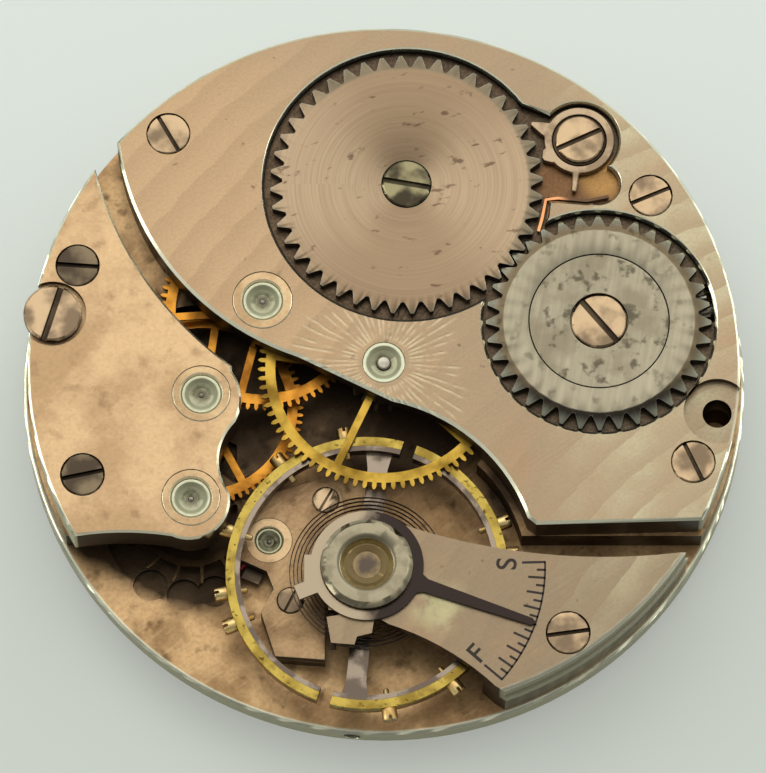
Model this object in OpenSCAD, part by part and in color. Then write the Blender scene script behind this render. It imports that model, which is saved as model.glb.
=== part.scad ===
// Pocket watch movement, twelve size, open face, jewelled lever, with bridges.
// Origin: centre arbor axis on the face that the dial rests on. +Z points to the bridges,
// +Y to the barrel, +X to the winding side. Millimetres.

/* [Plates] */
// Radius of the pillar plate at its rim
plate_r = 19.9; // [19.85:0.05:20.3]
// Thickness of the pillar plate floor
plate_t = 1.5; // [1.4:0.05:1.7]
// Height of the lands that carry the bridges, above the plate floor
land_h = 1.9; // [1.85:0.05:2.2]
// Thickness of the barrel bridge and the train bridge
bridge_t = 2.3; // [2.2:0.05:2.6]
// How far the rims of the bridges stand back from the plate rim
rim_step = 0.4; // [0.3:0.05:0.6]
// Bevel on the plate and bridge rims
rim_bevel = 0.15; // [0.05:0.05:0.25]
// Thickness of the balance cock arm over the balance
cock_arm_t = 0.7; // [0.6:0.05:0.8]
// Depth of the cock top below the bridge tops
cock_drop = 0.5; // [0.4:0.05:0.6]
// Thickness of the pallet bridge
pallet_bridge_t = 0.65; // [0.55:0.05:0.75]

/* [Mainspring barrel] */
// Teeth on the barrel
barrel_teeth = 70; // [70:1:71]
// Leaves on the centre pinion
center_leaves = 14; // [14:1:14]
// Module of the barrel teeth
barrel_mod = 0.248; // [0.244:0.001:0.250]
// Height of the closed barrel
barrel_h = 2; // [1.8:0.05:2.05]
// Wall of the barrel drum
barrel_wall = 0.35; // [0.25:0.05:0.45]
// Radius of the barrel arbor core that the mainspring hooks to
arbor_core_r = 1.9; // [1.7:0.1:2.2]
// Turns of the mainspring
mainspring_turns = 8; // [6:1:8]
// Thickness of the mainspring
mainspring_t = 0.16; // [0.1:0.02:0.2]

/* [Going train] */
// Teeth on the centre wheel
center_teeth = 80; // [80:1:80]
// Leaves on the third pinion
third_leaves = 10; // [10:1:10]
// Module of the centre wheel
center_mod = 0.168; // [0.166:0.001:0.170]
// Teeth on the third wheel
third_teeth = 75; // [75:1:75]
// Leaves on the fourth pinion
fourth_leaves = 10; // [10:1:10]
// Module of the third wheel
third_mod = 0.1485; // [0.147:0.0005:0.150]
// Teeth on the fourth wheel
fourth_teeth = 80; // [80:1:80]
// Leaves on the escape pinion
escape_leaves = 8; // [8:1:8]
// Module of the fourth wheel
fourth_mod = 0.135; // [0.134:0.0005:0.136]
// Thickness of the train wheels
wheel_t = 0.2; // [0.16:0.02:0.24]
// Width of the train wheel rims
wheel_rim = 0.55; // [0.45:0.05:0.7]
// Width of the train wheel spokes
wheel_spoke = 0.42; // [0.35:0.01:0.5]

/* [Escapement] */
// Distance from the escape arbor to the pallet arbor
escape_pallet_d = 4.525; // [4.45:0.025:4.6]
// Distance from the pallet arbor to the balance staff
pallet_balance_d = 5.757; // [5.7:0.01:5.8]
// Teeth on the escape wheel
escape_teeth = 15; // [15:1:15]
// Radius of the roller table
roller_r = 1.6; // [1.5:0.05:1.7]
// Distance from the staff to the impulse jewel
impulse_r = 1.15; // [1.1:0.01:1.2]
// Radius of the impulse jewel
impulse_jewel_r = 0.14; // [0.12:0.01:0.16]

/* [Balance] */
// Outer radius of the balance rim
balance_r = 7.7; // [7.5:0.05:7.8]
// Width of the balance rim, brass and steel together
rim_w = 0.78; // [0.72:0.02:0.9]
// Height of the balance rim
rim_h = 0.8; // [0.7:0.05:0.85]
// Width of the balance arms
arm_w = 1.1; // [0.9:0.05:1.2]
// Cut through the rim beside each arm
rim_cut = 0.74; // [0.5:0.02:0.8]
// Radius of the heads of the balance screws
rim_screw_r = 0.42; // [0.34:0.02:0.44]
// Turns of the hairspring
spring_turns = 6; // [5:1:6]
// Radius of the outer coil of the hairspring
spring_r = 3.56; // [3.5:0.02:3.6]
// Thickness of the hairspring
spring_t = 0.06; // [0.04:0.01:0.07]

/* [Winding] */
// Teeth on the ratchet wheel
ratchet_teeth = 44; // [44:1:44]
// Teeth on the crown wheel
crown_teeth = 36; // [36:1:36]
// Module of the ratchet and crown wheels
winding_mod = 0.33; // [0.326:0.001:0.334]
// Teeth on the winding pinion
winding_leaves = 10; // [10:1:10]
// Thickness of the ratchet wheel
ratchet_t = 0.5; // [0.4:0.05:0.55]
// Radius of the fixed core that the crown wheel turns on
crown_core_r = 3.82; // [3.6:0.02:4]
// Travel of the clutch from winding to setting
clutch_travel = 1; // [0.8:0.05:1]
// Radius of the winding arbor where it is round
arbor_r = 0.62; // [0.58:0.02:0.66]

/* [Motion work] */
// Leaves on the cannon pinion
cannon_leaves = 12; // [12:1:12]
// Teeth on the minute wheel
minute_teeth = 36; // [36:1:36]
// Leaves on the minute pinion
minute_leaves = 10; // [10:1:10]
// Teeth on the hour wheel
hour_teeth = 40; // [40:1:40]
// Teeth on the intermediate wheel and on the setting wheel
setting_teeth = 32; // [32:1:32]
// Distance from the centre arbor to the minute wheel post
minute_d = 3.4; // [3.36:0.01:3.44]
// Reach of the minute hand post below the dial seat
minute_post_l = 1.9; // [1.7:0.1:2.1]
// Reach of the hour wheel pipe below the dial seat
hour_pipe_l = 1.1; // [0.9:0.1:1.3]
// Reach of the seconds pivot below the dial seat
seconds_l = 1.6; // [1.4:0.1:1.7]
// Radius of the minute hand post
minute_post_r = 0.62; // [0.6:0.01:0.65]
// Outer radius of the hour wheel pipe
hour_pipe_r = 0.95; // [0.92:0.01:1]
// Radius of the seconds pivot
seconds_r = 0.15; // [0.13:0.01:0.17]

/* [Fastening] */
// Head radius of the bridge screws
bridge_screw_r = 1.19; // [1.1:0.01:1.25]
// Shank radius of the bridge screws
screw_shank_r = 0.5; // [0.45:0.01:0.55]
// Head radius of the case screw
case_screw_r = 1.6; // [1.5:0.05:1.7]
// Radius of the empty case screw hole
case_hole_r = 0.8; // [0.7:0.05:0.85]
// Radius of the circle of the dial feet
dial_foot_circle_r = 17.8; // [17.7:0.05:17.85]
// Radius of the dial foot holes
dial_foot_r = 0.72; // [0.68:0.01:0.75]

/* [Hidden] */
$fn = 96;

// Running clearance of pivots and bores, and the air that every cavity leaves round a wheel
run = 0.035;
air = 0.15;
eps = 0.01;

// Heights
split_z = plate_t + land_h;
top_z = split_z + bridge_t;
cock_top = top_z - cock_drop;
cock_under = cock_top - cock_arm_t;
rim_r = plate_r - rim_step;
land_r = plate_r - 0.25;
escape_z = plate_t + 0.4;
fourth_z = escape_z + 0.8;
third_z = split_z + air;
center_z = top_z - 1.4;
pallet_bridge_z = escape_z + 0.45;
pallet_bridge_top = pallet_bridge_z + pallet_bridge_t;
rim_z = pallet_bridge_top + 0.3;
arm_z = rim_z + 0.05;
arm_t = 0.25;
spring_z = rim_z + 0.65;
spring_h = 0.25;
barrel_z = split_z - 0.1 - barrel_h;
barrel_floor_z = barrel_z - air;
ratchet_floor_z = top_z - ratchet_t - air;
ratchet_z = ratchet_floor_z + 0.1;
crown_floor_z = top_z - 0.7;
crown_z = crown_floor_z + 0.05;
click_floor_z = top_z - 0.7;
stem_z = split_z;

// Directions of the layout, in degrees from +X
barrel_dir = 83.1;
third_dir = 151.6;
fourth_dir = 238.3;
escape_dir = 265;
lever_dir = -21.5;
crown_dir = -37;
minute_dir = -25;
click_dir = 15.17;

function polar(d, a) = [d * cos(a), d * sin(a)];
function centre_distance(m, n1, n2) = m * (n1 + n2) / 2;
function heading(p) = atan2(p[1], p[0]);
function range_of(p) = sqrt(p[0] * p[0] + p[1] * p[1]);

// Arbor places
center_pos = [0, 0];
barrel_pos = polar(centre_distance(barrel_mod, barrel_teeth, center_leaves), barrel_dir);
third_pos = polar(centre_distance(center_mod, center_teeth, third_leaves), third_dir);
fourth_pos = third_pos + polar(centre_distance(third_mod, third_teeth, fourth_leaves), fourth_dir);
escape_pos = fourth_pos + polar(centre_distance(fourth_mod, fourth_teeth, escape_leaves), escape_dir);
pallet_pos = escape_pos + polar(escape_pallet_d, lever_dir);
balance_pos = pallet_pos + polar(pallet_balance_d, lever_dir);
crown_pos = barrel_pos + polar(centre_distance(winding_mod, ratchet_teeth, crown_teeth), crown_dir);
stem_dir = heading(crown_pos);
minute_pos = polar(minute_d, minute_dir);
minute_mod = 2 * minute_d / (cannon_leaves + minute_teeth);
hour_mod = 2 * minute_d / (minute_leaves + hour_teeth);
setting_dir = 23;
intermediate_pos = minute_pos + polar(centre_distance(minute_mod, minute_teeth, setting_teeth), setting_dir);
setting_pos = intermediate_pos + polar(minute_mod * setting_teeth, setting_dir);

// Phases: the angle at which a wheel has a tooth, so that each pair is in mesh at rest
function meshed(dir, phase, n1, n2) = dir + 180 - (phase - dir) * n1 / n2 + 180 / n2;
center_phase = 0;
barrel_phase = meshed(barrel_dir, center_phase, center_leaves, barrel_teeth) - 0;
third_pinion_phase = meshed(third_dir, center_phase, center_teeth, third_leaves);
fourth_pinion_phase = meshed(fourth_dir, third_pinion_phase, third_teeth, fourth_leaves);
escape_pinion_phase = meshed(escape_dir, fourth_pinion_phase, fourth_teeth, escape_leaves);
minute_phase = meshed(minute_dir, center_phase, cannon_leaves, minute_teeth);
hour_phase = meshed(minute_dir + 180, minute_phase, minute_leaves, hour_teeth);
intermediate_phase = meshed(setting_dir, minute_phase, minute_teeth, setting_teeth);
setting_phase = meshed(setting_dir, intermediate_phase, setting_teeth, setting_teeth);

// Radii of the wheels
barrel_tooth_r = barrel_mod * barrel_teeth / 2;
barrel_tip_r = barrel_tooth_r + 1.1 * barrel_mod;
barrel_drum_r = barrel_tooth_r - 0.35;
center_r = center_mod * center_teeth / 2;
third_r = third_mod * third_teeth / 2;
fourth_r = fourth_mod * fourth_teeth / 2;
escape_r = escape_pallet_d * cos(30) - 0.05;
ratchet_r = winding_mod * ratchet_teeth / 2;
ratchet_tip_r = ratchet_r + 0.8 * winding_mod;
crown_r = winding_mod * crown_teeth / 2;
crown_tip_r = crown_r + 0.8 * winding_mod;
setting_r = minute_mod * setting_teeth / 2;

// Cavities round the wheels
barrel_pocket_r = barrel_tip_r + air;
center_pocket_r = center_r + 1.1 * center_mod + 2 * air;
third_pocket_r = third_r + 1.1 * third_mod + 2 * air;
fourth_pocket_r = fourth_r + 1.1 * fourth_mod + 2 * air;
escape_pocket_r = escape_r + 2 * air;
escape_sink_r = escape_r + 1;
balance_clear_r = balance_r + 0.75 + 2 * air;
ratchet_recess_r = ratchet_tip_r + 2.2 * air;
crown_recess_r = crown_tip_r + air;

// A turned solid from its half section
module turned(section) rotate_extrude() polygon(section);

// Teeth as points round a circle: a wheel tooth is a pointed arch, a pinion leaf is slim and blunt
function tooth_points(n, r, m, rows, phase) = [
    for (i = [0 : n - 1], p = rows) polar(r + p[0] * m, phase + (i + p[1]) * 360 / n)];
function mirrored(rows) = concat(rows, [for (i = [len(rows) - 1 : -1 : 0]) [rows[i][0], -rows[i][1]]]);
wheel_rows = mirrored([[-1.3, -0.23], [0, -0.23], [0.55, -0.17], [0.93, -0.097], [1.1, -0.035]]);
leaf_rows = mirrored([[-1.6, -0.153], [0, -0.17], [0.3, -0.136], [0.5, -0.06]]);
stout_rows = mirrored([[-1.2, -0.21], [0, -0.21], [0.5, -0.15], [0.8, -0.08]]);

module wheel_teeth(n, m, phase, rows = wheel_rows) polygon(tooth_points(n, m * n / 2, m, rows, phase));

// A crossed-out train wheel: toothed rim, straight spokes, hub with its bore
module train_wheel(n, m, phase, spokes, hub_r, bore_r, spoke_phase) {
    inner_r = m * n / 2 - 1.3 * m - wheel_rim;
    linear_extrude(wheel_t) difference() {
        wheel_teeth(n, m, phase);
        difference() {
            circle(r = inner_r);
            circle(r = hub_r);
            for (i = [0 : spokes - 1]) rotate(spoke_phase + i * 360 / spokes)
                translate([0, -wheel_spoke / 2]) square([inner_r + wheel_rim / 2, wheel_spoke]);
        }
        circle(r = bore_r);
    }
}

// Leaves of a pinion of length l
module leaves(n, m, phase, l) linear_extrude(l) wheel_teeth(n, m, phase, leaf_rows);

// A slotted screw, its top face at z = 0
module screw(head_r, head_h, shank_r, shank_l, slot_dir) {
    slot_w = head_r * 0.2;
    bevel = head_r * 0.08;
    difference() {
        turned([[0, 0], [head_r - bevel, 0], [head_r, -bevel], [head_r, -head_h], [shank_r, -head_h],
            [shank_r, -head_h - shank_l], [0, -head_h - shank_l]]);
        rotate(slot_dir) translate([-head_r - 1, -slot_w / 2, -head_h * 0.55])
            cube([2 * head_r + 2, slot_w, head_h]);
    }
}

// A band of width w along a list of points
function unit(v) = v / range_of(v);
function side_of(v, w) = [-unit(v)[1], unit(v)[0]] * w / 2;
function band_dir(p, i) = i == 0 ? p[1] - p[0] : i == len(p) - 1 ? p[i] - p[i - 1]
    : unit(p[i + 1] - p[i]) + unit(p[i] - p[i - 1]);
function band(p, w) = concat([for (i = [0 : len(p) - 1]) p[i] + side_of(band_dir(p, i), w)],
    [for (i = [len(p) - 1 : -1 : 0]) p[i] - side_of(band_dir(p, i), w)]);

// Outlines of the bridges, seen from above
module disc(r) circle(r = r, $fn = 180);

module barrel_bridge_outline(r) difference() {
    intersection() {
        disc(r);
        union() {
            translate([0.2, 14.6]) circle(r = 15.05);
            polygon([[-7.9, 1.95], [0.4, -2.15], [6.5, -8.55], [7.75, -8.75], [8.3, -9.2], [17.6, -8.95],
                [21, -8.95], [21, 21], [-7.9, 21]]);
        }
    }
    translate([-1.72, -12]) circle(r = 10.06);
}

module train_bridge_outline(r) difference() {
    intersection() {
        disc(r);
        union() {
            translate(fourth_pos + [-0.65, -0.3]) circle(r = 2.82);
            translate(escape_pos + [-0.1, -0.15]) circle(r = 2.22);
            difference() {
                polygon([[-22, -10.02], [-10.6, -10.02], [-8.75, -7.2], [-8.4, -3.6], [-8.3, -0.55],
                    [-9, 14], [-22, 14]]);
                translate([-14.1, -26.2]) circle(r = 16.55);
            }
        }
    }
    translate([3.98, 16.27]) circle(r = 20.53);
    translate([-5.84, -5.55]) circle(r = 3.15);
}

module balance_cock_outline(r) {
    difference() {
        intersection() {
            disc(r);
            polygon([[-0.9, -8.4], [21, -8.4], [21, -21], [6.75, -21], [6.75, -18.6], [-0.9, -14]]);
        }
        translate([11.99, 22.82]) circle(r = 33.74);
        translate([-4.49, -29.16]) circle(r = 15.22);
    }
    translate(balance_pos) circle(r = 2.95);
    polygon([[-3, -13.2], [-3, -13.9], [-2.45, -13.95], [-2.45, -14.2], [-3.1, -14.3], [-2.85, -15.75],
        [-1.6, -15.85], [-1.45, -15.4], [-0.65, -15.2], [-0.5, -14.3], [0.2, -13.2]]);
}

module pallet_bridge_outline() difference() {
    polygon([[-3.7, -5.9], [-2.3, -6.4], [-2, -9], [-3.2, -12.9], [-3.2, -16.1], [-5.9, -15.9],
        [-6.7, -13.4], [-6, -12.1], [-6.4, -11.1], [-7.9, -10.4], [-8.1, -9], [-7.6, -7.6], [-6, -6.6]]);
    translate(fourth_pos) circle(r = fourth_pocket_r);
    translate(balance_pos) circle(r = 2.6);
}

// Screw and hole places
barrel_bridge_screw_places = [polar(17.82, 131.9), polar(17.58, 33.3), polar(17.78, -18.6)];
barrel_bridge_screw_slots = [-60, 23, -65];
train_bridge_screw_places = [polar(17.72, 161.6), polar(17.6, 201.3)];
train_bridge_screw_slots = [-4, 12];
cock_screw_place = polar(18.17, -56.7);
stud_angle = 239;
stud_place = balance_pos + polar(spring_r, stud_angle);
pallet_screw_places = [[-3.17, -7.05], [-5.09, -12.76]];
case_screw_place = polar(18.37, 171.2);
case_hole_place = polar(18.42, -8.7);
click_pos = barrel_pos + polar(9.894, click_dir);
dial_foot_dirs = [25, 145, 265];
yoke_pivot_s = 15.3;
yoke_pivot_t = -4.2;
clutch_s = 14.9;
clutch_l = 1.75;
groove_s = yoke_pivot_s + clutch_travel / 2;
winding_pinion_s = 16.7;
winding_pinion_l = 1.45;
stem_cavity_r = 1.95;
stem_cavity_s0 = 13.2;
stem_cavity_s1 = 18.7;
function along(s, t) = polar(s, stem_dir) + polar(t, stem_dir + 90);
yoke_pivot = along(yoke_pivot_s, yoke_pivot_t);

// Radius of the fourth arbor in its hole through the plate
fourth_arbor_r = 0.32;

// Cuts that the plate and the bridges share
module stem_frame() translate([0, 0, stem_z]) rotate([0, 0, stem_dir]) rotate([0, 90, 0]) children();
module stem_cavity() stem_frame() {
    translate([0, 0, stem_cavity_s0]) cylinder(h = stem_cavity_s1 - stem_cavity_s0, r = stem_cavity_r);
    translate([0, 0, stem_cavity_s1 - eps]) cylinder(h = 3, r = 0.8);
    translate([0, 0, stem_cavity_s0 - 0.6]) cylinder(h = 1, r = 0.5 + run);
}
module hole(p, z0, z1, r) translate([p[0], p[1], z0]) cylinder(h = z1 - z0, r = r);
module seat(p, r) hole(p, top_z - 0.5, top_z + 1, r);

setting_z = 0.5;
setting_t = 0.25;
hour_z = 0.1;

module pillar_plate() color([0.78, 0.63, 0.48]) difference() {
    union() {
        turned([[0, 0], [plate_r - rim_bevel, 0], [plate_r, rim_bevel], [plate_r, plate_t - rim_bevel],
            [plate_r - rim_bevel, plate_t], [0, plate_t]]);
        translate([0, 0, plate_t - eps]) linear_extrude(land_h + eps) plate_lands();
        translate([0, 0, plate_t - eps]) linear_extrude(pallet_bridge_z - plate_t + eps) pallet_lands();
    }
    hole(barrel_pos, barrel_floor_z, split_z + 1, barrel_pocket_r);
    hole(barrel_pos, 0.35, plate_t, 0.8 + run);
    hole(center_pos, 0.5, plate_t + 1, 0.42 + run);
    hole(fourth_pos, -1, plate_t + 1, fourth_arbor_r + run);
    for (p = [third_pos, escape_pos, pallet_pos]) hole(p, 0.6, plate_t + 1, 0.7);
    hole(balance_pos, 0.45, plate_t + 1, 0.9);
    hole(third_pos, plate_t, split_z + 1, 0.95);
    stem_cavity();
    for (p = concat(barrel_bridge_screw_places, train_bridge_screw_places, [cock_screw_place]))
        hole(p, 0.7, split_z + 1, screw_shank_r + eps);
    for (p = pallet_screw_places) hole(p, 0.7, pallet_bridge_z + 1, 0.3 + eps);
    hole(case_screw_place, 1, split_z + 1, 0.55 + eps);
    hole(case_hole_place, 1, split_z + 1, case_hole_r);
    for (a = dial_foot_dirs) {
        hole(polar(dial_foot_circle_r, a), -1, plate_t - 0.3, dial_foot_r);
        rotate([0, 0, a]) translate([dial_foot_circle_r, 0, plate_t / 2]) rotate([0, 90, 0])
            cylinder(h = 3, r = 0.45 + eps);
    }
    hole(center_pos, -1, hour_z + setting_t + air / 2, hour_mod * (hour_teeth / 2 + 1.1) + air);
    translate([0, 0, -1]) linear_extrude(1 + setting_z + setting_t + 0.1) motion_recess();
    translate([0, 0, 0.5]) linear_extrude(2) polygon(band([along(groove_s + 0.4, 0),
        along(groove_s - clutch_travel - 0.4, 0)], 0.6));
    translate([0, 0, plate_t - 0.45]) linear_extrude(split_z) difference() {
        translate(escape_pos) circle(r = escape_sink_r);
        translate(escape_pos) circle(r = 1.25);
        translate(pallet_pos) circle(r = 1.35);
        translate(fourth_pos) circle(r = 1.4);
        translate([-8.1, -25]) square([20, 50]);
    }
    for (p = [[-12.78, -11.4], [-10.95, -11.95], [-9.26, -11.75]]) hole(p, plate_t - 0.8, plate_t + 1, 0.95);
}

module plate_lands() difference() {
    intersection() {
        disc(land_r);
        union() {
            translate([-25, -9.2]) square([50, 50]);
            balance_cock_outline(25);
        }
    }
    translate(balance_pos) circle(r = balance_clear_r);
    circle(r = center_pocket_r);
    translate(fourth_pos) circle(r = fourth_pocket_r);
    translate(escape_pos) circle(r = escape_pocket_r);
}

module balance_cock_foot() difference() {
    balance_cock_outline(plate_r);
    translate(balance_pos) circle(r = balance_clear_r);
}

module pallet_lands() intersection() {
    pallet_bridge_outline();
    union() {
        translate(pallet_screw_places[0]) circle(r = 1.3);
        translate([-7.5, -17]) square([5.5, 4.9]);
    }
}

// Recess on the dial side for the cannon pinion, the minute and setting wheels and the yoke, with their posts
module motion_recess() difference() {
    union() {
        circle(r = 1.25);
        translate(minute_pos) circle(r = minute_mod * (minute_teeth / 2 + 1.1) + air);
        for (p = [intermediate_pos, setting_pos]) translate(p) circle(r = setting_r + minute_mod * 1.1 + air);
        yoke_recess();
    }
    for (p = [minute_pos, intermediate_pos, setting_pos]) translate(p) circle(r = 0.35);
    translate(yoke_pivot) circle(r = 0.5);
}

module yoke_recess() {
    translate(yoke_pivot) circle(r = 1.2);
    translate(yoke_pivot) rotate(stem_dir + 90) polygon([[0, -1], [5, -2], [5, 2], [0, 1]]);
    polygon([along(16.2, -0.4), along(18, -1.6), along(18.9, -1.6), along(18.7, 1), along(17.8, 2),
        along(16.7, 1.9)]);
}

module barrel_bridge() color([0.74, 0.62, 0.54]) difference() {
    intersection() {
        translate([0, 0, split_z]) linear_extrude(bridge_t) barrel_bridge_outline(plate_r);
        turned([[0, split_z], [rim_r, split_z], [rim_r, top_z - rim_bevel], [rim_r - rim_bevel, top_z],
            [0, top_z]]);
    }
    hole(center_pos, split_z - 1, center_z + wheel_t + air, center_pocket_r);
    hole(third_pos, split_z - 1, third_z + wheel_t + air, third_pocket_r);
    hole(third_pos, split_z - 1, center_z + wheel_t + 0.3, 1.15);
    hole(third_pos, split_z - 1, top_z + 1, 0.6);
    hole(third_pos, top_z - 0.8, top_z + 1, 1.66);
    hole(center_pos, split_z - 1, top_z + 1, 0.8);
    hole(center_pos, top_z - 0.7, top_z + 1, 1.18);
    hole(barrel_pos, split_z - 1, top_z + 1, 1 + run);
    hole(barrel_pos, ratchet_floor_z, top_z + 1, ratchet_recess_r);
    hole(crown_pos, crown_floor_z, top_z + 1, crown_recess_r);
    hole(crown_pos, split_z + 0.5, top_z + 1, screw_shank_r + eps);
    stem_cavity();
    hole(click_pos, click_floor_z, top_z + 1, 2.15);
    hole(click_pos, split_z + 0.4, top_z + 1, screw_shank_r + eps);
    translate([0, 0, click_floor_z]) linear_extrude(2) {
        translate(click_pos) rotate(158.9) translate([0, -0.75]) square([4, 1.9]);
        translate(click_pos) rotate(207) translate([0, -0.8]) square([4, 1.8]);
        translate(click_pos + [-1.05, -2.45]) circle(r = 0.95);
        translate(click_pos + [1, -2.55]) circle(r = 1.15);
        translate(click_pos + [-1, -3.3]) square([2, 1.6]);
        polygon(band(click_spring_path, 0.5));
    }
    for (p = barrel_bridge_screw_places) {
        seat(p, bridge_screw_r + 0.03);
        hole(p, split_z - 1, top_z, screw_shank_r + eps);
    }
    hole(case_hole_place, split_z - 1, top_z + 1, case_hole_r);
    hole(case_hole_place, top_z - 0.5, top_z + 1, 1.85);
}

module train_bridge() color([0.86, 0.71, 0.54]) difference() {
    intersection() {
        translate([0, 0, split_z]) linear_extrude(bridge_t) train_bridge_outline(plate_r);
        turned([[0, split_z], [rim_r, split_z], [rim_r, top_z - rim_bevel], [rim_r - rim_bevel, top_z],
            [0, top_z]]);
    }
    hole(third_pos, split_z - 1, third_z + wheel_t + air, third_pocket_r);
    hole(balance_pos, split_z - 1, rim_z + rim_h + air, balance_clear_r);
    hole(center_pos, split_z - 1, center_z + wheel_t + air, center_pocket_r);
    hole(fourth_pos, split_z - 1, split_z + 1.2, 1.15);
    for (p = [fourth_pos, escape_pos]) {
        hole(p, split_z - 1, top_z + 1, 0.6);
        hole(p, top_z - 0.8, top_z + 1, 1.61);
    }
    for (p = train_bridge_screw_places) {
        seat(p, bridge_screw_r + 0.03);
        hole(p, split_z - 1, top_z, screw_shank_r + eps);
    }
    hole(case_screw_place, split_z - 1, top_z + 1, 0.55 + eps);
    hole(case_screw_place, top_z - 0.45, top_z + 1, case_screw_r + 0.25);
}

module balance_cock() color([0.74, 0.64, 0.54]) difference() {
    intersection() {
        union() {
            translate([0, 0, cock_under]) linear_extrude(cock_arm_t) balance_cock_outline(plate_r);
            translate([0, 0, split_z]) linear_extrude(cock_under - split_z + eps) balance_cock_foot();
        }
        turned([[0, split_z], [plate_r - 0.2, split_z], [plate_r - 0.2, split_z + 0.6],
            [rim_r + 0.05, split_z + 0.6],
            [rim_r + 0.05, cock_top - rim_bevel], [rim_r - rim_bevel, cock_top], [0, cock_top]]);
    }
    hole(balance_pos, cock_under - 1, cock_top + 1, 0.5);
    hole(balance_pos, cock_under + 0.25, cock_top + 1, 1.1);
    hole(stud_place, cock_under - 1, cock_top - 0.12, 0.3 + eps);
    hole(cock_screw_place, split_z - 1, cock_top, screw_shank_r + eps);
    hole(cock_screw_place, cock_top - 0.5, cock_top + 1, bridge_screw_r + 0.03);
    translate([stud_place[0], -17, cock_under + 0.35]) rotate([-90, 0, 0])
        cylinder(h = 17 + stud_place[1], r = 0.16 + eps);
}

module pallet_bridge() color([0.78, 0.6, 0.44]) difference() {
    translate([0, 0, pallet_bridge_z]) linear_extrude(pallet_bridge_t) pallet_bridge_outline();
    hole(pallet_pos, pallet_bridge_z - 1, pallet_bridge_top + 1, 0.5);
    hole(pallet_pos, pallet_bridge_z + 0.1, pallet_bridge_top + 1, 1.28);
    for (p = pallet_screw_places) {
        hole(p, pallet_bridge_z - 1, pallet_bridge_top + 1, 0.3 + eps);
        hole(p, pallet_bridge_top - 0.25, pallet_bridge_top + 1, 0.75);
    }
}

module barrel_bridge_screws() color([0.76, 0.64, 0.56])
    for (i = [0 : len(barrel_bridge_screw_places) - 1])
        translate(concat(barrel_bridge_screw_places[i], top_z + 0.02))
            screw(bridge_screw_r, 0.5, screw_shank_r, 3.6, barrel_bridge_screw_slots[i]);

module train_bridge_screws() color([0.3, 0.28, 0.32])
    for (i = [0 : len(train_bridge_screw_places) - 1])
        translate(concat(train_bridge_screw_places[i], top_z + 0.02))
            screw(bridge_screw_r, 0.5, screw_shank_r, 3.6, train_bridge_screw_slots[i]);

module balance_cock_screws() color([0.78, 0.66, 0.54]) {
    translate(concat(cock_screw_place, cock_top + 0.02)) screw(bridge_screw_r, 0.5, screw_shank_r, 3, 8);
    translate([stud_place[0], stud_place[1] - 1.55, cock_under + 0.35]) rotate([90, 0, 0]) rotate([180, 0, 0])
        translate([0, 0, 1.25]) screw(0.16, 0.2, 0.16, 1.03, 0);
}

module pallet_bridge_screws() color([0.85, 0.75, 0.58])
    for (i = [0, 1]) translate(concat(pallet_screw_places[i], pallet_bridge_top + 0.08))
        screw(0.72, 0.33, 0.3, 1.6, [60, 63][i]);

module case_screw() color([0.8, 0.68, 0.56])
    translate(concat(case_screw_place, top_z + 0.15)) screw(case_screw_r, 0.6, 0.55, 3.2, 73);

// Rings that hold the upper jewels of the third, fourth, escape and pallet arbors
module jewel_settings() color([0.85, 0.72, 0.5]) {
    for (s = [[third_pos, 1.65], [fourth_pos, 1.6], [escape_pos, 1.6]])
        translate(concat(s[0], top_z - 0.8)) turned([[0.75, 0], [s[1], 0], [s[1], 0.76], [s[1] - 0.06, 0.82],
            [1.18, 0.82], [1.1, 0.7], [1.1, 0.2], [0.75, 0.2]]);
    translate(concat(pallet_pos, pallet_bridge_z + 0.1)) turned([[0.6, 0], [1.27, 0],
        [1.27, pallet_bridge_t - 0.1],
        [0.8, pallet_bridge_t - 0.1], [0.75, pallet_bridge_t - 0.2], [0.75, 0.15], [0.6, 0.15]]);
}

// A dished hole jewel whose top edge is at z = 0
module hole_jewel(r, h, bore) turned([[bore, -h], [r, -h], [r, -0.06], [r - 0.06, 0], [r * 0.82, 0],
    [r * 0.62, -0.12],
    [r * 0.35, -0.2], [bore, -0.22]]);

pivot_r = 0.12;
module bridge_jewels() color([0.72, 0.8, 0.68, 0.8]) {
    for (p = [third_pos, fourth_pos, escape_pos])
        translate(concat(p, top_z - 0.1)) hole_jewel(1.1, 0.5, pivot_r + run);
    translate(concat(center_pos, top_z + 0.02)) hole_jewel(1.18, 0.72, 0.38 + run);
    translate(concat(pallet_pos, pallet_bridge_top - 0.1)) hole_jewel(0.75, 0.3, 0.1 + run);
}

module plate_jewels() color([0.72, 0.8, 0.68, 0.8]) {
    for (p = [third_pos, escape_pos, pallet_pos]) translate(concat(p, 1.1))
        hole_jewel(0.7, 0.5, pivot_r + run);
}

module balance_hole_jewels() color([0.72, 0.8, 0.68, 0.8]) {
    translate(concat(balance_pos, cock_under + 0.55)) hole_jewel(1.1, 0.3, 0.07 + run);
    translate(concat(balance_pos, 1.2)) hole_jewel(0.9, 0.35, 0.07 + run);
}

// The steel cap with its bright bevelled edge, and the two end stones
cap_r = 2.5;
module cap_setting() color([0.86, 0.84, 0.78]) translate(concat(balance_pos, cock_top))
    turned([[1.1, 0], [cap_r, 0], [cap_r, 0.55], [cap_r - 0.28, 0.8], [1.7, 0.8], [1.42, 0.62],
        [1.42, 0.15], [1.1, 0.15]]);

module cap_jewels() color([0.7, 0.55, 0.38, 0.9]) {
    translate(concat(balance_pos, cock_top + 0.15)) turned([[0, 0], [1.42, 0], [1.42, 0.2], [1.1, 0.32],
        [0.75, 0.18], [0, 0.18]]);
    translate(concat(balance_pos, 0.45)) turned([[0, 0], [0.9, 0], [0.9, 0.3], [0, 0.36]]);
}

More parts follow.
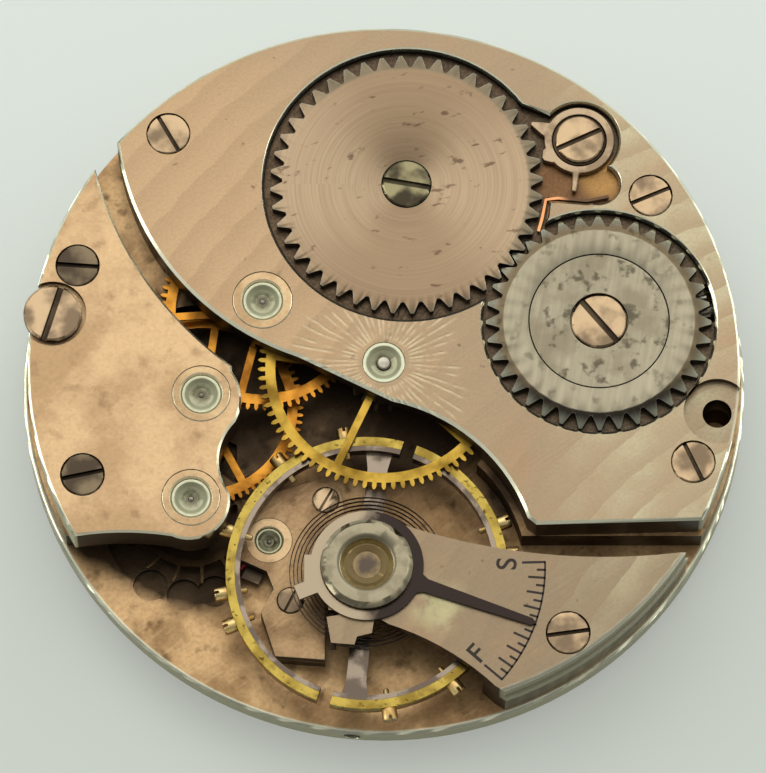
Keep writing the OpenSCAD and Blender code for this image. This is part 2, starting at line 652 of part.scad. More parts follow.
module hairspring_stud() color([0.6, 0.6, 0.66]) hole(stud_place, spring_z - 0.1, cock_top - 0.13, 0.3);

module crown_wheel_core() color([0.62, 0.62, 0.56]) translate(concat(crown_pos, crown_floor_z))
    turned([[screw_shank_r, 0], [crown_core_r, 0], [crown_core_r, 0.7], [1.6, 0.7], [1.6, 0.35],
        [screw_shank_r, 0.35]]);

module crown_wheel_screw() color([0.84, 0.66, 0.52])
    translate(concat(crown_pos, top_z + 0.02)) screw(1.54, 0.37, screw_shank_r, 1.4, -50);

click_t = 0.45;
click_z = click_floor_z + 0.1;
module click_screw() color([0.82, 0.72, 0.64]) translate(concat(click_pos, 0)) difference() {
    turned([[0, click_floor_z - 1.2], [screw_shank_r, click_floor_z - 1.2], [screw_shank_r, click_floor_z],
        [1.46, click_floor_z], [1.46, click_z + click_t - 0.05], [1.33, click_z + click_t - 0.05],
        [1.33, top_z + 0.02], [1.25, top_z + 0.1], [0, top_z + 0.1]]);
    rotate([0, 0, 25]) translate([-2, -0.13, top_z - 0.15]) cube([4, 0.26, 1]);
}

// The click: a ring round its screw, an upper beak, a shorter lower beak and a tail
click_beak_dir = 158.9;
click_beak_l = 2.86;
click_swing = 15.5;
module click() color([0.82, 0.8, 0.72]) translate(concat(click_pos, click_z)) linear_extrude(click_t)
    difference() {
    union() {
        circle(r = 1.93);
        rotate(click_beak_dir) polygon([[1.2, -0.55], [2.2, -0.3], [click_beak_l, -0.1], [click_beak_l, 0.12],
            [2.1, 0.42], [1.2, 0.6]]);
        rotate(207) polygon([[1.2, -0.6], [2.05, -0.42], [2.3, -0.05], [2.3, 0.15], [2, 0.45], [1.2, 0.55]]);
        rotate(264) polygon([[1.2, -0.22], [3, -0.12], [3, 0.12], [1.2, 0.22]]);
    }
    circle(r = 1.5);
}

click_spring_path = [click_pos + [1.6, -3.2], click_pos + [0.4, -3.45], click_pos + [-1.2, -3.3],
    barrel_pos + polar(ratchet_tip_r + 0.2, -6), barrel_pos + polar(ratchet_tip_r + 0.18, -14),
    barrel_pos + polar(ratchet_tip_r + 0.2, -20)];
module click_spring() color([0.86, 0.62, 0.4]) translate([0, 0, click_z + 0.05]) linear_extrude(0.2)
    polygon(band(click_spring_path, 0.16));

module dial_foot_screws() color([0.8, 0.68, 0.56]) for (a = dial_foot_dirs) rotate([0, 0, a])
    translate([plate_r - 0.05, 0, plate_t / 2]) rotate([0, 90, 0])
        screw(0.45, 0.4, 0.45, plate_r - dial_foot_circle_r
        - dial_foot_r - 0.5, a);

// Centre arbor: long pinion for the barrel, seat for the centre wheel, pivot for the cannon pinion
module center_pinion() color([0.75, 0.75, 0.78]) {
    turned([[0, -minute_post_l + 0.1], [0.38, -minute_post_l + 0.1], [0.38, 0.9], [0.42, 0.95],
        [0.42, plate_t + 0.05],
        [0.9, plate_t + 0.05], [0.9, split_z - 0.95], [1.3, split_z - 0.95], [1.3, split_z + 0.05],
        [0.8, split_z + 0.05], [0.8, center_z], [0.55, center_z], [0.55, center_z + wheel_t + 0.1],
        [0.38, center_z + wheel_t + 0.1], [0.38, top_z - 0.1], [0.3, top_z], [0, top_z]]);
    translate([0, 0, split_z - 0.95]) leaves(center_leaves, barrel_mod, center_phase, 1);
}
module center_wheel() color([0.86, 0.7, 0.25]) translate([0, 0, center_z])
    train_wheel(center_teeth, center_mod, center_phase, 5, 1.5, 0.55, 29);
// Pinched waist that grips the centre arbor, between the seat of the minute hand and the hour wheel's bearing
waist_r = 0.45;
waist_l = 0.55;
waist_z = -hour_pipe_l - 0.05;
module cannon_pinion() color([0.72, 0.72, 0.75]) {
    translate([0, 0, setting_z - 0.05]) linear_extrude(0.4) difference() {
        wheel_teeth(cannon_leaves, minute_mod, center_phase, leaf_rows);
        circle(r = 0.38);
    }
    turned([[0.38, -minute_post_l], [minute_post_r - 0.04, -minute_post_l],
        [minute_post_r, -minute_post_l + 0.04],
        [minute_post_r, waist_z], [waist_r, waist_z], [waist_r, waist_z + waist_l],
        [minute_post_r, waist_z + waist_l], [minute_post_r, setting_z], [0.38, setting_z]]);
}

module barrel_drum() color([0.85, 0.7, 0.35]) translate(concat(barrel_pos, barrel_z)) {
    difference() {
        union() {
            cylinder(h = barrel_h - 0.25, r = barrel_drum_r);
            translate([0, 0, barrel_h - 0.75]) linear_extrude(0.5)
                wheel_teeth(barrel_teeth, barrel_mod, barrel_phase);
        }
        translate([0, 0, 0.28]) cylinder(h = barrel_h, r = barrel_drum_r - barrel_wall);
        translate([0, 0, -1]) cylinder(h = 3, r = 0.8 + run);
    }
}
module barrel_cover() color([0.87, 0.73, 0.4]) translate(concat(barrel_pos, barrel_z + barrel_h - 0.25))
    turned([[1 + run, 0], [barrel_drum_r, 0], [barrel_drum_r, 0.17], [barrel_drum_r - 0.1, 0.22],
        [1 + run, 0.22]]);
module barrel_arbor() color([0.72, 0.72, 0.75]) translate(concat(barrel_pos, 0)) difference() {
    union() {
        turned([[0, 0.4], [0.8, 0.4], [0.8, barrel_z + 0.32], [arbor_core_r, barrel_z + 0.32],
            [arbor_core_r, barrel_z + barrel_h - 0.29], [1, barrel_z + barrel_h - 0.29],
            [1, ratchet_z - 0.03],
            [0, ratchet_z - 0.03]]);
        translate([-0.65, -0.65, ratchet_z - 0.04]) cube([1.3, 1.3, ratchet_t - 0.2]);
    }
    translate([0, 0, ratchet_z - 1]) cylinder(h = 3, r = 0.4);
}
module ratchet_wheel() color([0.72, 0.62, 0.54]) translate(concat(barrel_pos, ratchet_z)) difference() {
    linear_extrude(ratchet_t) wheel_teeth(ratchet_teeth, winding_mod, ratchet_phase, stout_rows);
    translate([-0.65, -0.65, -1]) cube([1.3, 1.3, 3]);
    translate([0, 0, ratchet_t - 0.22]) cylinder(h = 1, r = 1.36);
}
module ratchet_screw() color([0.3, 0.28, 0.24]) translate(concat(barrel_pos, ratchet_z + ratchet_t + 0.12))
    screw(1.34, 0.34, 0.4, 1, -10);

// Springs follow r = r0 + pitch * turns; each is one strip from its inner to its outer end
function spiral(r0, r1, turns, a1, steps) = [for (i = [0 : turns * steps])
    polar(r0 + (r1 - r0) * i / (turns * steps), a1 - (turns * steps - i) * 360 / steps)];
function least_gap(p, steps, t) = min([for (i = [0 : len(p) - 1 - steps]) range_of(p[i + steps] - p[i])]) - t;
mainspring_points = spiral(arbor_core_r + 0.25, barrel_drum_r - barrel_wall - 0.15, mainspring_turns, 90, 32);
hairspring_points = spiral(0.7, spring_r, spring_turns, stud_angle, 32);
echo(mainspring_least_gap = least_gap(mainspring_points, 32, mainspring_t));
echo(hairspring_least_gap = least_gap(hairspring_points, 32, spring_t));
module mainspring() color([0.5, 0.52, 0.6]) translate(concat(barrel_pos, barrel_z + 0.35))
    linear_extrude(barrel_h - 0.7) polygon(band(mainspring_points, mainspring_t));
module hairspring() color([0.25, 0.28, 0.36]) translate(concat(balance_pos, spring_z))
    linear_extrude(spring_h)
    difference() {
        polygon(band(hairspring_points, spring_t));
        translate(polar(spring_r, stud_angle)) circle(r = 0.3);
        circle(r = 0.66);
    }

module third_pinion() color([0.75, 0.75, 0.78]) translate(concat(third_pos, 0)) {
    turned([[0, 0.75], [pivot_r, 0.75], [pivot_r, plate_t - 0.3], [0.28, plate_t - 0.25],
        [0.28, third_z - 0.1],
        [0.7, third_z - 0.1], [0.7, third_z], [0.4, third_z], [0.4, center_z - 0.2], [0.55, center_z - 0.2],
        [0.55, center_z + wheel_t + 0.15], [0.3, center_z + wheel_t + 0.15], [0.3, top_z - 0.85],
        [pivot_r, top_z - 0.75], [pivot_r, top_z - 0.3], [0, top_z - 0.25]]);
    translate([0, 0, center_z - 0.2]) leaves(third_leaves, center_mod, third_pinion_phase, wheel_t + 0.35);
}
module third_wheel() color([0.9, 0.68, 0.25]) translate(concat(third_pos, third_z))
    train_wheel(third_teeth, third_mod, third_pinion_phase, 5, 1.2, 0.4, 40);
module fourth_pinion() color([0.75, 0.75, 0.78]) translate(concat(fourth_pos, 0)) {
    turned([[0, -seconds_l], [seconds_r, -seconds_l], [seconds_r, -0.05], [fourth_arbor_r, -0.05],
        [fourth_arbor_r, fourth_z - 0.1], [0.7, fourth_z - 0.1], [0.7, fourth_z], [0.4, fourth_z],
        [0.4, third_z - 0.2],
        [0.5, third_z - 0.2], [0.5, third_z + 0.5], [0.25, third_z + 0.5], [0.25, top_z - 0.85],
        [pivot_r, top_z - 0.75], [pivot_r, top_z - 0.3], [0, top_z - 0.25]]);
    translate([0, 0, third_z - 0.2]) leaves(fourth_leaves, third_mod, fourth_pinion_phase, 0.7);
}
module fourth_wheel() color([0.92, 0.6, 0.22]) translate(concat(fourth_pos, fourth_z))
    train_wheel(fourth_teeth, fourth_mod, fourth_pinion_phase, 5, 1.1, 0.4, 10);
module escape_pinion() color([0.75, 0.75, 0.78]) translate(concat(escape_pos, 0)) {
    turned([[0, 0.75], [pivot_r, 0.75], [pivot_r, plate_t - 0.3], [0.25, plate_t - 0.25],
        [0.25, escape_z - 0.1],
        [0.5, escape_z - 0.1], [0.5, escape_z], [0.28, escape_z], [0.28, fourth_z - 0.3],
        [0.34, fourth_z - 0.3],
        [0.34, fourth_z + 0.45], [0.22, fourth_z + 0.45], [0.22, top_z - 0.85], [pivot_r, top_z - 0.75],
        [pivot_r, top_z - 0.3], [0, top_z - 0.25]]);
    translate([0, 0, fourth_z - 0.3]) leaves(escape_leaves, fourth_mod, escape_pinion_phase, 0.75);
}

// Club-tooth escape wheel; its teeth stand either side of each pallet stone at rest
escape_phase = lever_dir + 30 + 6;
escape_rows = [[-0.95, -0.15], [-0.7, -0.13], [-0.3, -0.07], [0, -0.015], [0, 0.05], [-0.1, 0.035],
    [-0.35, 0.02], [-0.95, 0.01]];
module escape_wheel() color([0.92, 0.72, 0.3]) translate(concat(escape_pos, escape_z)) linear_extrude(wheel_t)
    difference() {
        polygon([for (i = [0 : escape_teeth - 1], k = [len(escape_rows) - 1 : -1 : 0])
            polar(escape_r + escape_rows[k][0],
                escape_phase + (i - escape_rows[k][1]) * 360 / escape_teeth)]);
        difference() {
            circle(r = escape_r - 1.35);
            circle(r = 0.75);
            for (i = [0 : 3]) rotate(i * 90 + 20) translate([0, -0.17]) square([escape_r - 1.1, 0.34]);
        }
        circle(r = 0.28);
    }

// Pallet fork in its own frame: the pallet arbor at 0, the balance towards +X, the escape wheel towards -X
stone_r = sqrt(escape_pallet_d * escape_pallet_d - escape_r * escape_r);
stone_gap = 0.06;
fork_t = 0.28;
fork_z = escape_z - 0.04;
notch_w = 2 * impulse_jewel_r + 0.1;
fork_tip = pallet_balance_d - impulse_r + 0.2;
function stone_angle() = acos((escape_pallet_d * escape_pallet_d + pow(stone_r, 2) - pow(escape_r, 2))
    / (2 * escape_pallet_d * stone_r));
module fork_frame(z) translate(concat(pallet_pos, z)) rotate(lever_dir) children();
module pallet_fork() color([0.78, 0.76, 0.7]) {
    fork_frame(fork_z) difference() {
        union() {
            linear_extrude(fork_t) difference() {
                union() {
                    circle(r = 0.75);
                    polygon([[0, -0.35], [fork_tip - 0.9, -0.2], [fork_tip - 0.9, 0.2], [0, 0.35]]);
                    translate([fork_tip - 0.9, 0]) circle(r = 0.45);
                    polygon([[fork_tip - 0.95, -0.42], [fork_tip, -0.46], [fork_tip, 0.46],
                        [fork_tip - 0.95, 0.42]]);
                    for (s = [-1, 1]) mirror([0, s < 0 ? 1 : 0]) {
                        polygon([[-0.5, 0], [0.5, 0], [0.28, 2.3], [-0.75, 2.3]]);
                    }
                }
                translate([fork_tip - 0.45, -notch_w / 2]) square([2, notch_w]);
                circle(r = 0.2);
            }
            translate([fork_tip - 0.75, 0, fork_t - 0.02])
                translate([pallet_balance_d - roller_r - 0.13 - fork_tip + 0.75, 0])
                cylinder(h = 0.55, r = 0.07);
        }
        for (s = [-1, 1]) rotate(180 + s * stone_angle()) translate([stone_r - 0.7, -0.2, -1])
            cube([3, 0.4, 3]);
        translate([0, 0, -1]) linear_extrude(3) translate([-escape_pallet_d, 0])
            circle(r = escape_r + stone_gap);
    }
}
module pallet_stones() color([0.75, 0.2, 0.25, 0.9]) fork_frame(fork_z) difference() {
    for (s = [-1, 1]) rotate(180 + s * stone_angle()) translate([stone_r - 0.7, -0.19, 0])
        cube([1.3, 0.38, fork_t]);
    translate([-escape_pallet_d, 0, -1]) cylinder(h = 3, r = escape_r + stone_gap);
}
module pallet_arbor() color([0.75, 0.75, 0.78]) translate(concat(pallet_pos, 0))
    turned([[0, 0.75], [0.1, 0.75], [0.1, plate_t - 0.3], [0.3, plate_t - 0.25], [0.3, fork_z], [0.2, fork_z],
        [0.2, fork_z + fork_t + 0.1], [0.1, fork_z + fork_t + 0.15], [0.1, pallet_bridge_top - 0.25],
        [0, pallet_bridge_top - 0.2]]);

// Balance: brass rim brazed to a steel rim with two arms, cut through beside each arm
arm_dir = 84.5;
cut_dir = arm_dir - 12.5;
brass_w = 0.5;
module rim_ring(r0, r1) difference() {
    circle(r = r1);
    circle(r = r0);
    for (a = [0, 180]) rotate(cut_dir + a) translate([r0 - 0.5, -rim_cut / 2]) square([r1 - r0 + 1, rim_cut]);
}
module balance_rim() color([0.82, 0.75, 0.3]) translate(concat(balance_pos, rim_z)) difference() {
    linear_extrude(rim_h) rim_ring(balance_r - brass_w, balance_r);
    rim_screw_holes();
}
module balance_arms() color([0.6, 0.55, 0.55]) translate(concat(balance_pos, 0)) difference() {
    union() {
        translate([0, 0, rim_z]) linear_extrude(rim_h) rim_ring(balance_r - rim_w, balance_r - brass_w);
        translate([0, 0, arm_z]) linear_extrude(arm_t) {
            intersection() {
                circle(r = balance_r - rim_w + 0.05);
                rotate(arm_dir) union() {
                    translate([-balance_r, -arm_w / 2]) square([2 * balance_r, arm_w]);
                    for (s = [0, 180]) rotate(s) polygon([[balance_r - rim_w - 0.9, -arm_w / 2],
                        [balance_r, -arm_w * 0.8], [balance_r, arm_w * 0.8],
                        [balance_r - rim_w - 0.9, arm_w / 2]]);
                }
            }
            circle(r = 1.3);
        }
    }
    hole([0, 0], 0, 10, 0.5);
    translate([0, 0, rim_z]) rim_screw_holes();
}
rim_screw_dirs = [98.9, 127, 162, 188, 201.5];
module rim_screw_holes() for (h = [0, 180], a = rim_screw_dirs) rotate([0, 0, a + h])
    translate([balance_r - rim_w - 0.5, 0, rim_h / 2]) rotate([0, 90, 0]) cylinder(h = rim_w + 1, r = 0.16);
module balance_screws() color([0.88, 0.72, 0.36]) translate(concat(balance_pos, rim_z + rim_h / 2))
    for (h = [0, 180], a = rim_screw_dirs) rotate([0, 0, a + h]) translate([balance_r, 0, 0])
        rotate([0, 90, 0])
        difference() {
            turned([[0, -rim_w - 0.35], [0.12, -rim_w - 0.35], [0.16, -rim_w - 0.3], [0.16, 0],
                [rim_screw_r, 0],
                [rim_screw_r, 0.62], [rim_screw_r - 0.05, 0.67], [0, 0.67]]);
            translate([-1, -0.08, 0.42]) cube([2, 0.16, 1]);
        }
module balance_staff() color([0.72, 0.72, 0.76]) translate(concat(balance_pos, 0))
    turned([[0, 0.85], [0.07, 0.85], [0.07, 1.2], [0.3, 1.35], [0.3, roller_z], [0.35, roller_z],
        [0.35, arm_z - 0.15],
        [0.8, arm_z - 0.15], [0.8, arm_z], [0.5, arm_z], [0.5, arm_z + arm_t + 0.05],
        [0.34, arm_z + arm_t + 0.1],
        [0.34, spring_z + spring_h + 0.1], [0.2, spring_z + spring_h + 0.15], [0.07, cock_under + 0.25],
        [0.07, cock_top + 0.1], [0, cock_top + 0.13]]);
roller_z = pallet_bridge_z + 0.15;
roller_t = 0.2;
impulse_dir = lever_dir + 180 + 78;
module roller_table() color([0.75, 0.75, 0.78]) translate(concat(balance_pos, roller_z))
    linear_extrude(roller_t)
    difference() {
        circle(r = roller_r);
        circle(r = 0.35);
        translate(polar(roller_r + 0.12, impulse_dir)) circle(r = 0.35);
        translate(polar(impulse_r, impulse_dir)) circle(r = impulse_jewel_r);
    }
module impulse_jewel() color([0.8, 0.2, 0.25])
    translate(concat(balance_pos + polar(impulse_r, impulse_dir), fork_z - 0.05))
    cylinder(h = roller_z + roller_t - fork_z + 0.05, r = impulse_jewel_r);
module hairspring_collet() color([0.85, 0.7, 0.35]) translate(concat(balance_pos, spring_z - 0.05))
    turned([[0.34, 0], [0.66, 0], [0.66, 0.35], [0.34, 0.35]]);

// Regulator: split steel ring round the cap, pointer to the scale, tail with two curb pins
pointer_dir = -19.5;
tail_dir = 202;
pointer_r = 9.75;
module regulator() color([0.25, 0.24, 0.32]) translate(concat(balance_pos, cock_top + 0.03)) {
    linear_extrude(0.2) difference() {
        union() {
            circle(r = 3.08);
            rotate(pointer_dir) polygon([[2.6, -0.75], [3.4, -0.38], [pointer_r - 0.3, -0.2], [pointer_r, 0],
                [pointer_r - 0.3, 0.2], [3.4, 0.38], [2.6, 0.75]]);
            polygon([[-3.4, -1.15], [-3.4, 0.6], [-2.4, 0.6], [-2.4, -1.15]]);
            rotate(tail_dir) polygon([[2.5, -0.55], [3.1, -0.42], [4.1, -0.42], [4.1, 0.42], [3.1, 0.42],
                [2.5, 0.55]]);
        }
        circle(r = cap_r + run);
    }
    for (r = [spring_r - 0.14, spring_r + 0.16]) rotate(tail_dir)
        translate([r, 0, spring_z + 0.05 - cock_top - 0.03])
        cylinder(h = cock_top + 0.03 - spring_z - 0.05 + 0.1, r = 0.06);
}

// Winding work
ratchet_phase = heading(click_tip_engaged() - barrel_pos) + 180 / ratchet_teeth - 0.35;
function click_tip_engaged() = click_pos + polar(click_beak_l, click_beak_dir + click_swing);
crown_phase = meshed(crown_dir, ratchet_phase, ratchet_teeth, crown_teeth);
winding_pinion_phase = (crown_phase - stem_dir + 180 / crown_teeth) * crown_teeth / winding_leaves;
module crown_wheel() color([0.66, 0.66, 0.6]) translate(concat(crown_pos, crown_z)) difference() {
    union() {
        linear_extrude(0.45) wheel_teeth(crown_teeth, winding_mod, crown_phase, stout_rows);
        turned([[0, 0.44], [crown_r - 0.48, 0.44], [crown_r - 0.72, 0.67], [0, 0.67]]);
    }
    translate([0, 0, -1]) cylinder(h = 3, r = crown_core_r + run);
}
module on_stem(s) stem_frame() translate([0, 0, s]) children();
module winding_arbor() color([0.72, 0.72, 0.76]) difference() {
    union() {
        on_stem(stem_cavity_s0 - 0.55) cylinder(h = 0.6, r = 0.5);
        on_stem(stem_cavity_s0 + 0.02) translate([-0.42, -0.42, 0])
            cube([0.84, 0.84, winding_pinion_s - stem_cavity_s0]);
        on_stem(winding_pinion_s) cylinder(h = stem_cavity_s1 - winding_pinion_s - 0.1, r = arbor_r);
    }
    on_stem(stem_cavity_s1 - 1.6) translate([-0.28, -0.28, 0]) cube([0.56, 0.56, 3]);
}
module face_teeth(h) linear_extrude(h) for (i = [0 : 7]) rotate(i * 45) polygon([[0.95, 0], [1.4, 0],
    polar(1.4, 18), polar(0.95, 18)]);
module winding_pinion() color([0.74, 0.74, 0.77]) on_stem(winding_pinion_s) difference() {
    union() {
        translate([0, 0, 0.2]) cylinder(h = winding_pinion_l - 0.2, r = 1.3);
        face_teeth(0.3);
        translate([0, 0, winding_pinion_l - 0.52]) linear_extrude(0.52)
            polygon([for (i = [0 : winding_leaves - 1],
            p = [[1.25, -0.2], [1.5, -0.18], [1.7, -0.1], [1.75, -0.05], [1.75, 0.05], [1.7, 0.1],
                [1.5, 0.18], [1.25, 0.2]])
            polar(p[0], 180 - winding_pinion_phase + (i + p[1]) * 360 / winding_leaves)]);
    }
    translate([0, 0, -1]) cylinder(h = 4, r = arbor_r);
}
module clutch_wheel() color([0.74, 0.74, 0.77]) on_stem(clutch_s) difference() {
    union() {
        turned([[0, 0], [1.6, 0], [1.6, 0.55], [1.05, 0.55], [1.05, 1.25], [1.6, 1.25],
            [1.6, clutch_l - 0.2], [0, clutch_l - 0.2]]);
        translate([0, 0, clutch_l - 0.25]) rotate(22.5) face_teeth(0.27);
    }
    translate([-0.42 - run, -0.42 - run, -1]) cube([0.84 + 2 * run, 0.84 + 2 * run, 4]);
}
module yoke() color([0.7, 0.7, 0.74]) {
    rest_dir = stem_dir + 90 - asin(clutch_travel / 2 / -yoke_pivot_t);
    translate(concat(yoke_pivot, 0.3)) rotate(rest_dir) linear_extrude(0.4) difference() {
        union() {
            circle(r = 0.95);
            polygon([[0, -0.6], [-yoke_pivot_t, -0.35], [-yoke_pivot_t + 0.3, 0], [-yoke_pivot_t, 0.35],
                [0, 0.6]]);
        }
        circle(r = 0.5 + run);
    }
    translate(concat(yoke_pivot, 0.65)) rotate(rest_dir) translate([-yoke_pivot_t, 0])
        cylinder(h = 1.45, r = 0.14);
}
yoke_spring_path = [along(18.4, -1.2), along(18.2, 0.6), along(17.6, 1.5), along(17, 1.2), along(16.72, 0.2)];
module yoke_spring() color([0.4, 0.42, 0.5]) translate([0, 0, 0.35]) linear_extrude(0.3)
    polygon(band(yoke_spring_path, 0.18));

module minute_wheel() color([0.88, 0.72, 0.35]) translate(concat(minute_pos, 0)) {
    translate([0, 0, setting_z]) linear_extrude(setting_t) difference() {
        wheel_teeth(minute_teeth, minute_mod, minute_phase);
        circle(r = 0.35 + run);
    }
    translate([0, 0, hour_z]) linear_extrude(setting_z - hour_z) difference() {
        wheel_teeth(minute_leaves, hour_mod, minute_phase, leaf_rows);
        circle(r = 0.35 + run);
    }
}
module hour_wheel() color([0.88, 0.72, 0.35]) {
    translate([0, 0, hour_z]) linear_extrude(setting_t) difference() {
        wheel_teeth(hour_teeth, hour_mod, hour_phase);
        circle(r = minute_post_r + run);
    }
    translate([0, 0, -hour_pipe_l]) difference() {
        cylinder(h = hour_pipe_l + hour_z + eps, r = hour_pipe_r);
        translate([0, 0, -1]) cylinder(h = 4, r = minute_post_r + run);
    }
}
module plain_setting_wheel(p, phase) translate(concat(p, setting_z)) linear_extrude(setting_t) difference() {
    wheel_teeth(setting_teeth, minute_mod, phase);
    circle(r = 0.35 + run);
}
module intermediate_wheel() color([0.74, 0.74, 0.77])
    plain_setting_wheel(intermediate_pos, intermediate_phase);
module setting_wheel() color([0.74, 0.74, 0.77]) plain_setting_wheel(setting_pos, setting_phase);

pillar_plate();
barrel_bridge();
train_bridge();
balance_cock();
pallet_bridge();
barrel_bridge_screws();
train_bridge_screws();
balance_cock_screws();
pallet_bridge_screws();
case_screw();
jewel_settings();
bridge_jewels();
plate_jewels();
balance_hole_jewels();
cap_setting();
cap_jewels();
hairspring_stud();
crown_wheel_core();
crown_wheel_screw();
click_screw();
click_spring();
dial_foot_screws();
yoke_spring();
center_wheel();
center_pinion();
cannon_pinion();
barrel_drum();
barrel_cover();
third_wheel();
third_pinion();
fourth_wheel();
fourth_pinion();
escape_wheel();
escape_pinion();
pallet_fork();
pallet_stones();
pallet_arbor();
balance_rim();
balance_arms();
balance_screws();
balance_staff();
roller_table();
impulse_jewel();
hairspring_collet();
hairspring();
ratchet_wheel();
barrel_arbor();
ratchet_screw();
mainspring();
crown_wheel();
winding_arbor();
winding_pinion();
clutch_wheel();
yoke();
click();
regulator();
minute_wheel();
hour_wheel();
intermediate_wheel();
setting_wheel();
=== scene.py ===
import math

import bpy
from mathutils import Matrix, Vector


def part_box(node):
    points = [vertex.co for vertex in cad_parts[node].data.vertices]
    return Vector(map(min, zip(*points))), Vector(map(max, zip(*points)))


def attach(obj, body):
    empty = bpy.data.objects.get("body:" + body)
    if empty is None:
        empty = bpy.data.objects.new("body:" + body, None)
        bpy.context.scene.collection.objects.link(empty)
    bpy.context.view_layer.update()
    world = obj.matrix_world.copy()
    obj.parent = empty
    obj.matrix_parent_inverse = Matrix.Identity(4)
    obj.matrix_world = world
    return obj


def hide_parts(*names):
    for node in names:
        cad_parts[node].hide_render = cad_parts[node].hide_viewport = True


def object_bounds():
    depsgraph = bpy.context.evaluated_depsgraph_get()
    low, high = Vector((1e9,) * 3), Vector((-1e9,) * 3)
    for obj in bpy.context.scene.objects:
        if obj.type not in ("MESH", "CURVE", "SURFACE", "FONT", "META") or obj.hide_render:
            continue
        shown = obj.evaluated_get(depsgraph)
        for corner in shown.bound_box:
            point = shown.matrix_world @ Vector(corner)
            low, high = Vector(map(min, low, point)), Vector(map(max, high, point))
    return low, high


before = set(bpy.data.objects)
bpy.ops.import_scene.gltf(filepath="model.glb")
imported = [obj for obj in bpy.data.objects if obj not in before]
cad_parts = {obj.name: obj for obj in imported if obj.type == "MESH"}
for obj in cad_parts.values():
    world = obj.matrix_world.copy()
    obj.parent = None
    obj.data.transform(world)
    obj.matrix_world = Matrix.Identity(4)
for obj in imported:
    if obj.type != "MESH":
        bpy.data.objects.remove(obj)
cad_low, cad_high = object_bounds()

# Pillar plate: one turned brass plate, frosted and gilt, now stained. Its raised lands carry the
# bridges. The pallet bridge is cut from the same stock and finished with it.
MM = 0.001
PAINTED_SHADE = (52, 40, 31)
PLATE_RIM = 19.72
BRIDGE_RIM = 19.42
SHARP_OVER = math.radians(50)
SMOOTH_UNDER = math.radians(32)
LONG_OUTLINE = 13


def shade(red, green, blue):
    """A colour as it is seen, 0 to 255, turned into the light values that a shader uses."""
    seen = [part / 255 for part in (red, green, blue)]
    light = [s / 12.92 if s <= 0.04045 else ((s + 0.055) / 1.055) ** 2.4 for s in seen]
    return (*light, 1.0)


class Value:
    """Something that varies over a surface; arithmetic on it adds the maths nodes."""

    def __init__(self, finish, socket):
        self.finish = finish
        self.socket = socket

    def maths(self, operation, first, second=0.0):
        return self.finish.maths_of(operation, first, second)

    def sine(self):
        return self.maths("SINE", self)

    def size(self):
        return self.maths("ABSOLUTE", self)

    def least(self, other):
        return self.maths("MINIMUM", self, other)

    def whole(self):
        return self.maths("FLOOR", self)

    def __add__(self, other):
        return self.maths("ADD", self, other)

    def __radd__(self, other):
        return self.maths("ADD", other, self)

    def __sub__(self, other):
        return self.maths("SUBTRACT", self, other)

    def __rsub__(self, other):
        return self.maths("SUBTRACT", other, self)

    def __mul__(self, other):
        return self.maths("MULTIPLY", self, other)

    def __rmul__(self, other):
        return self.maths("MULTIPLY", other, self)

    def __truediv__(self, other):
        return self.maths("DIVIDE", self, other)


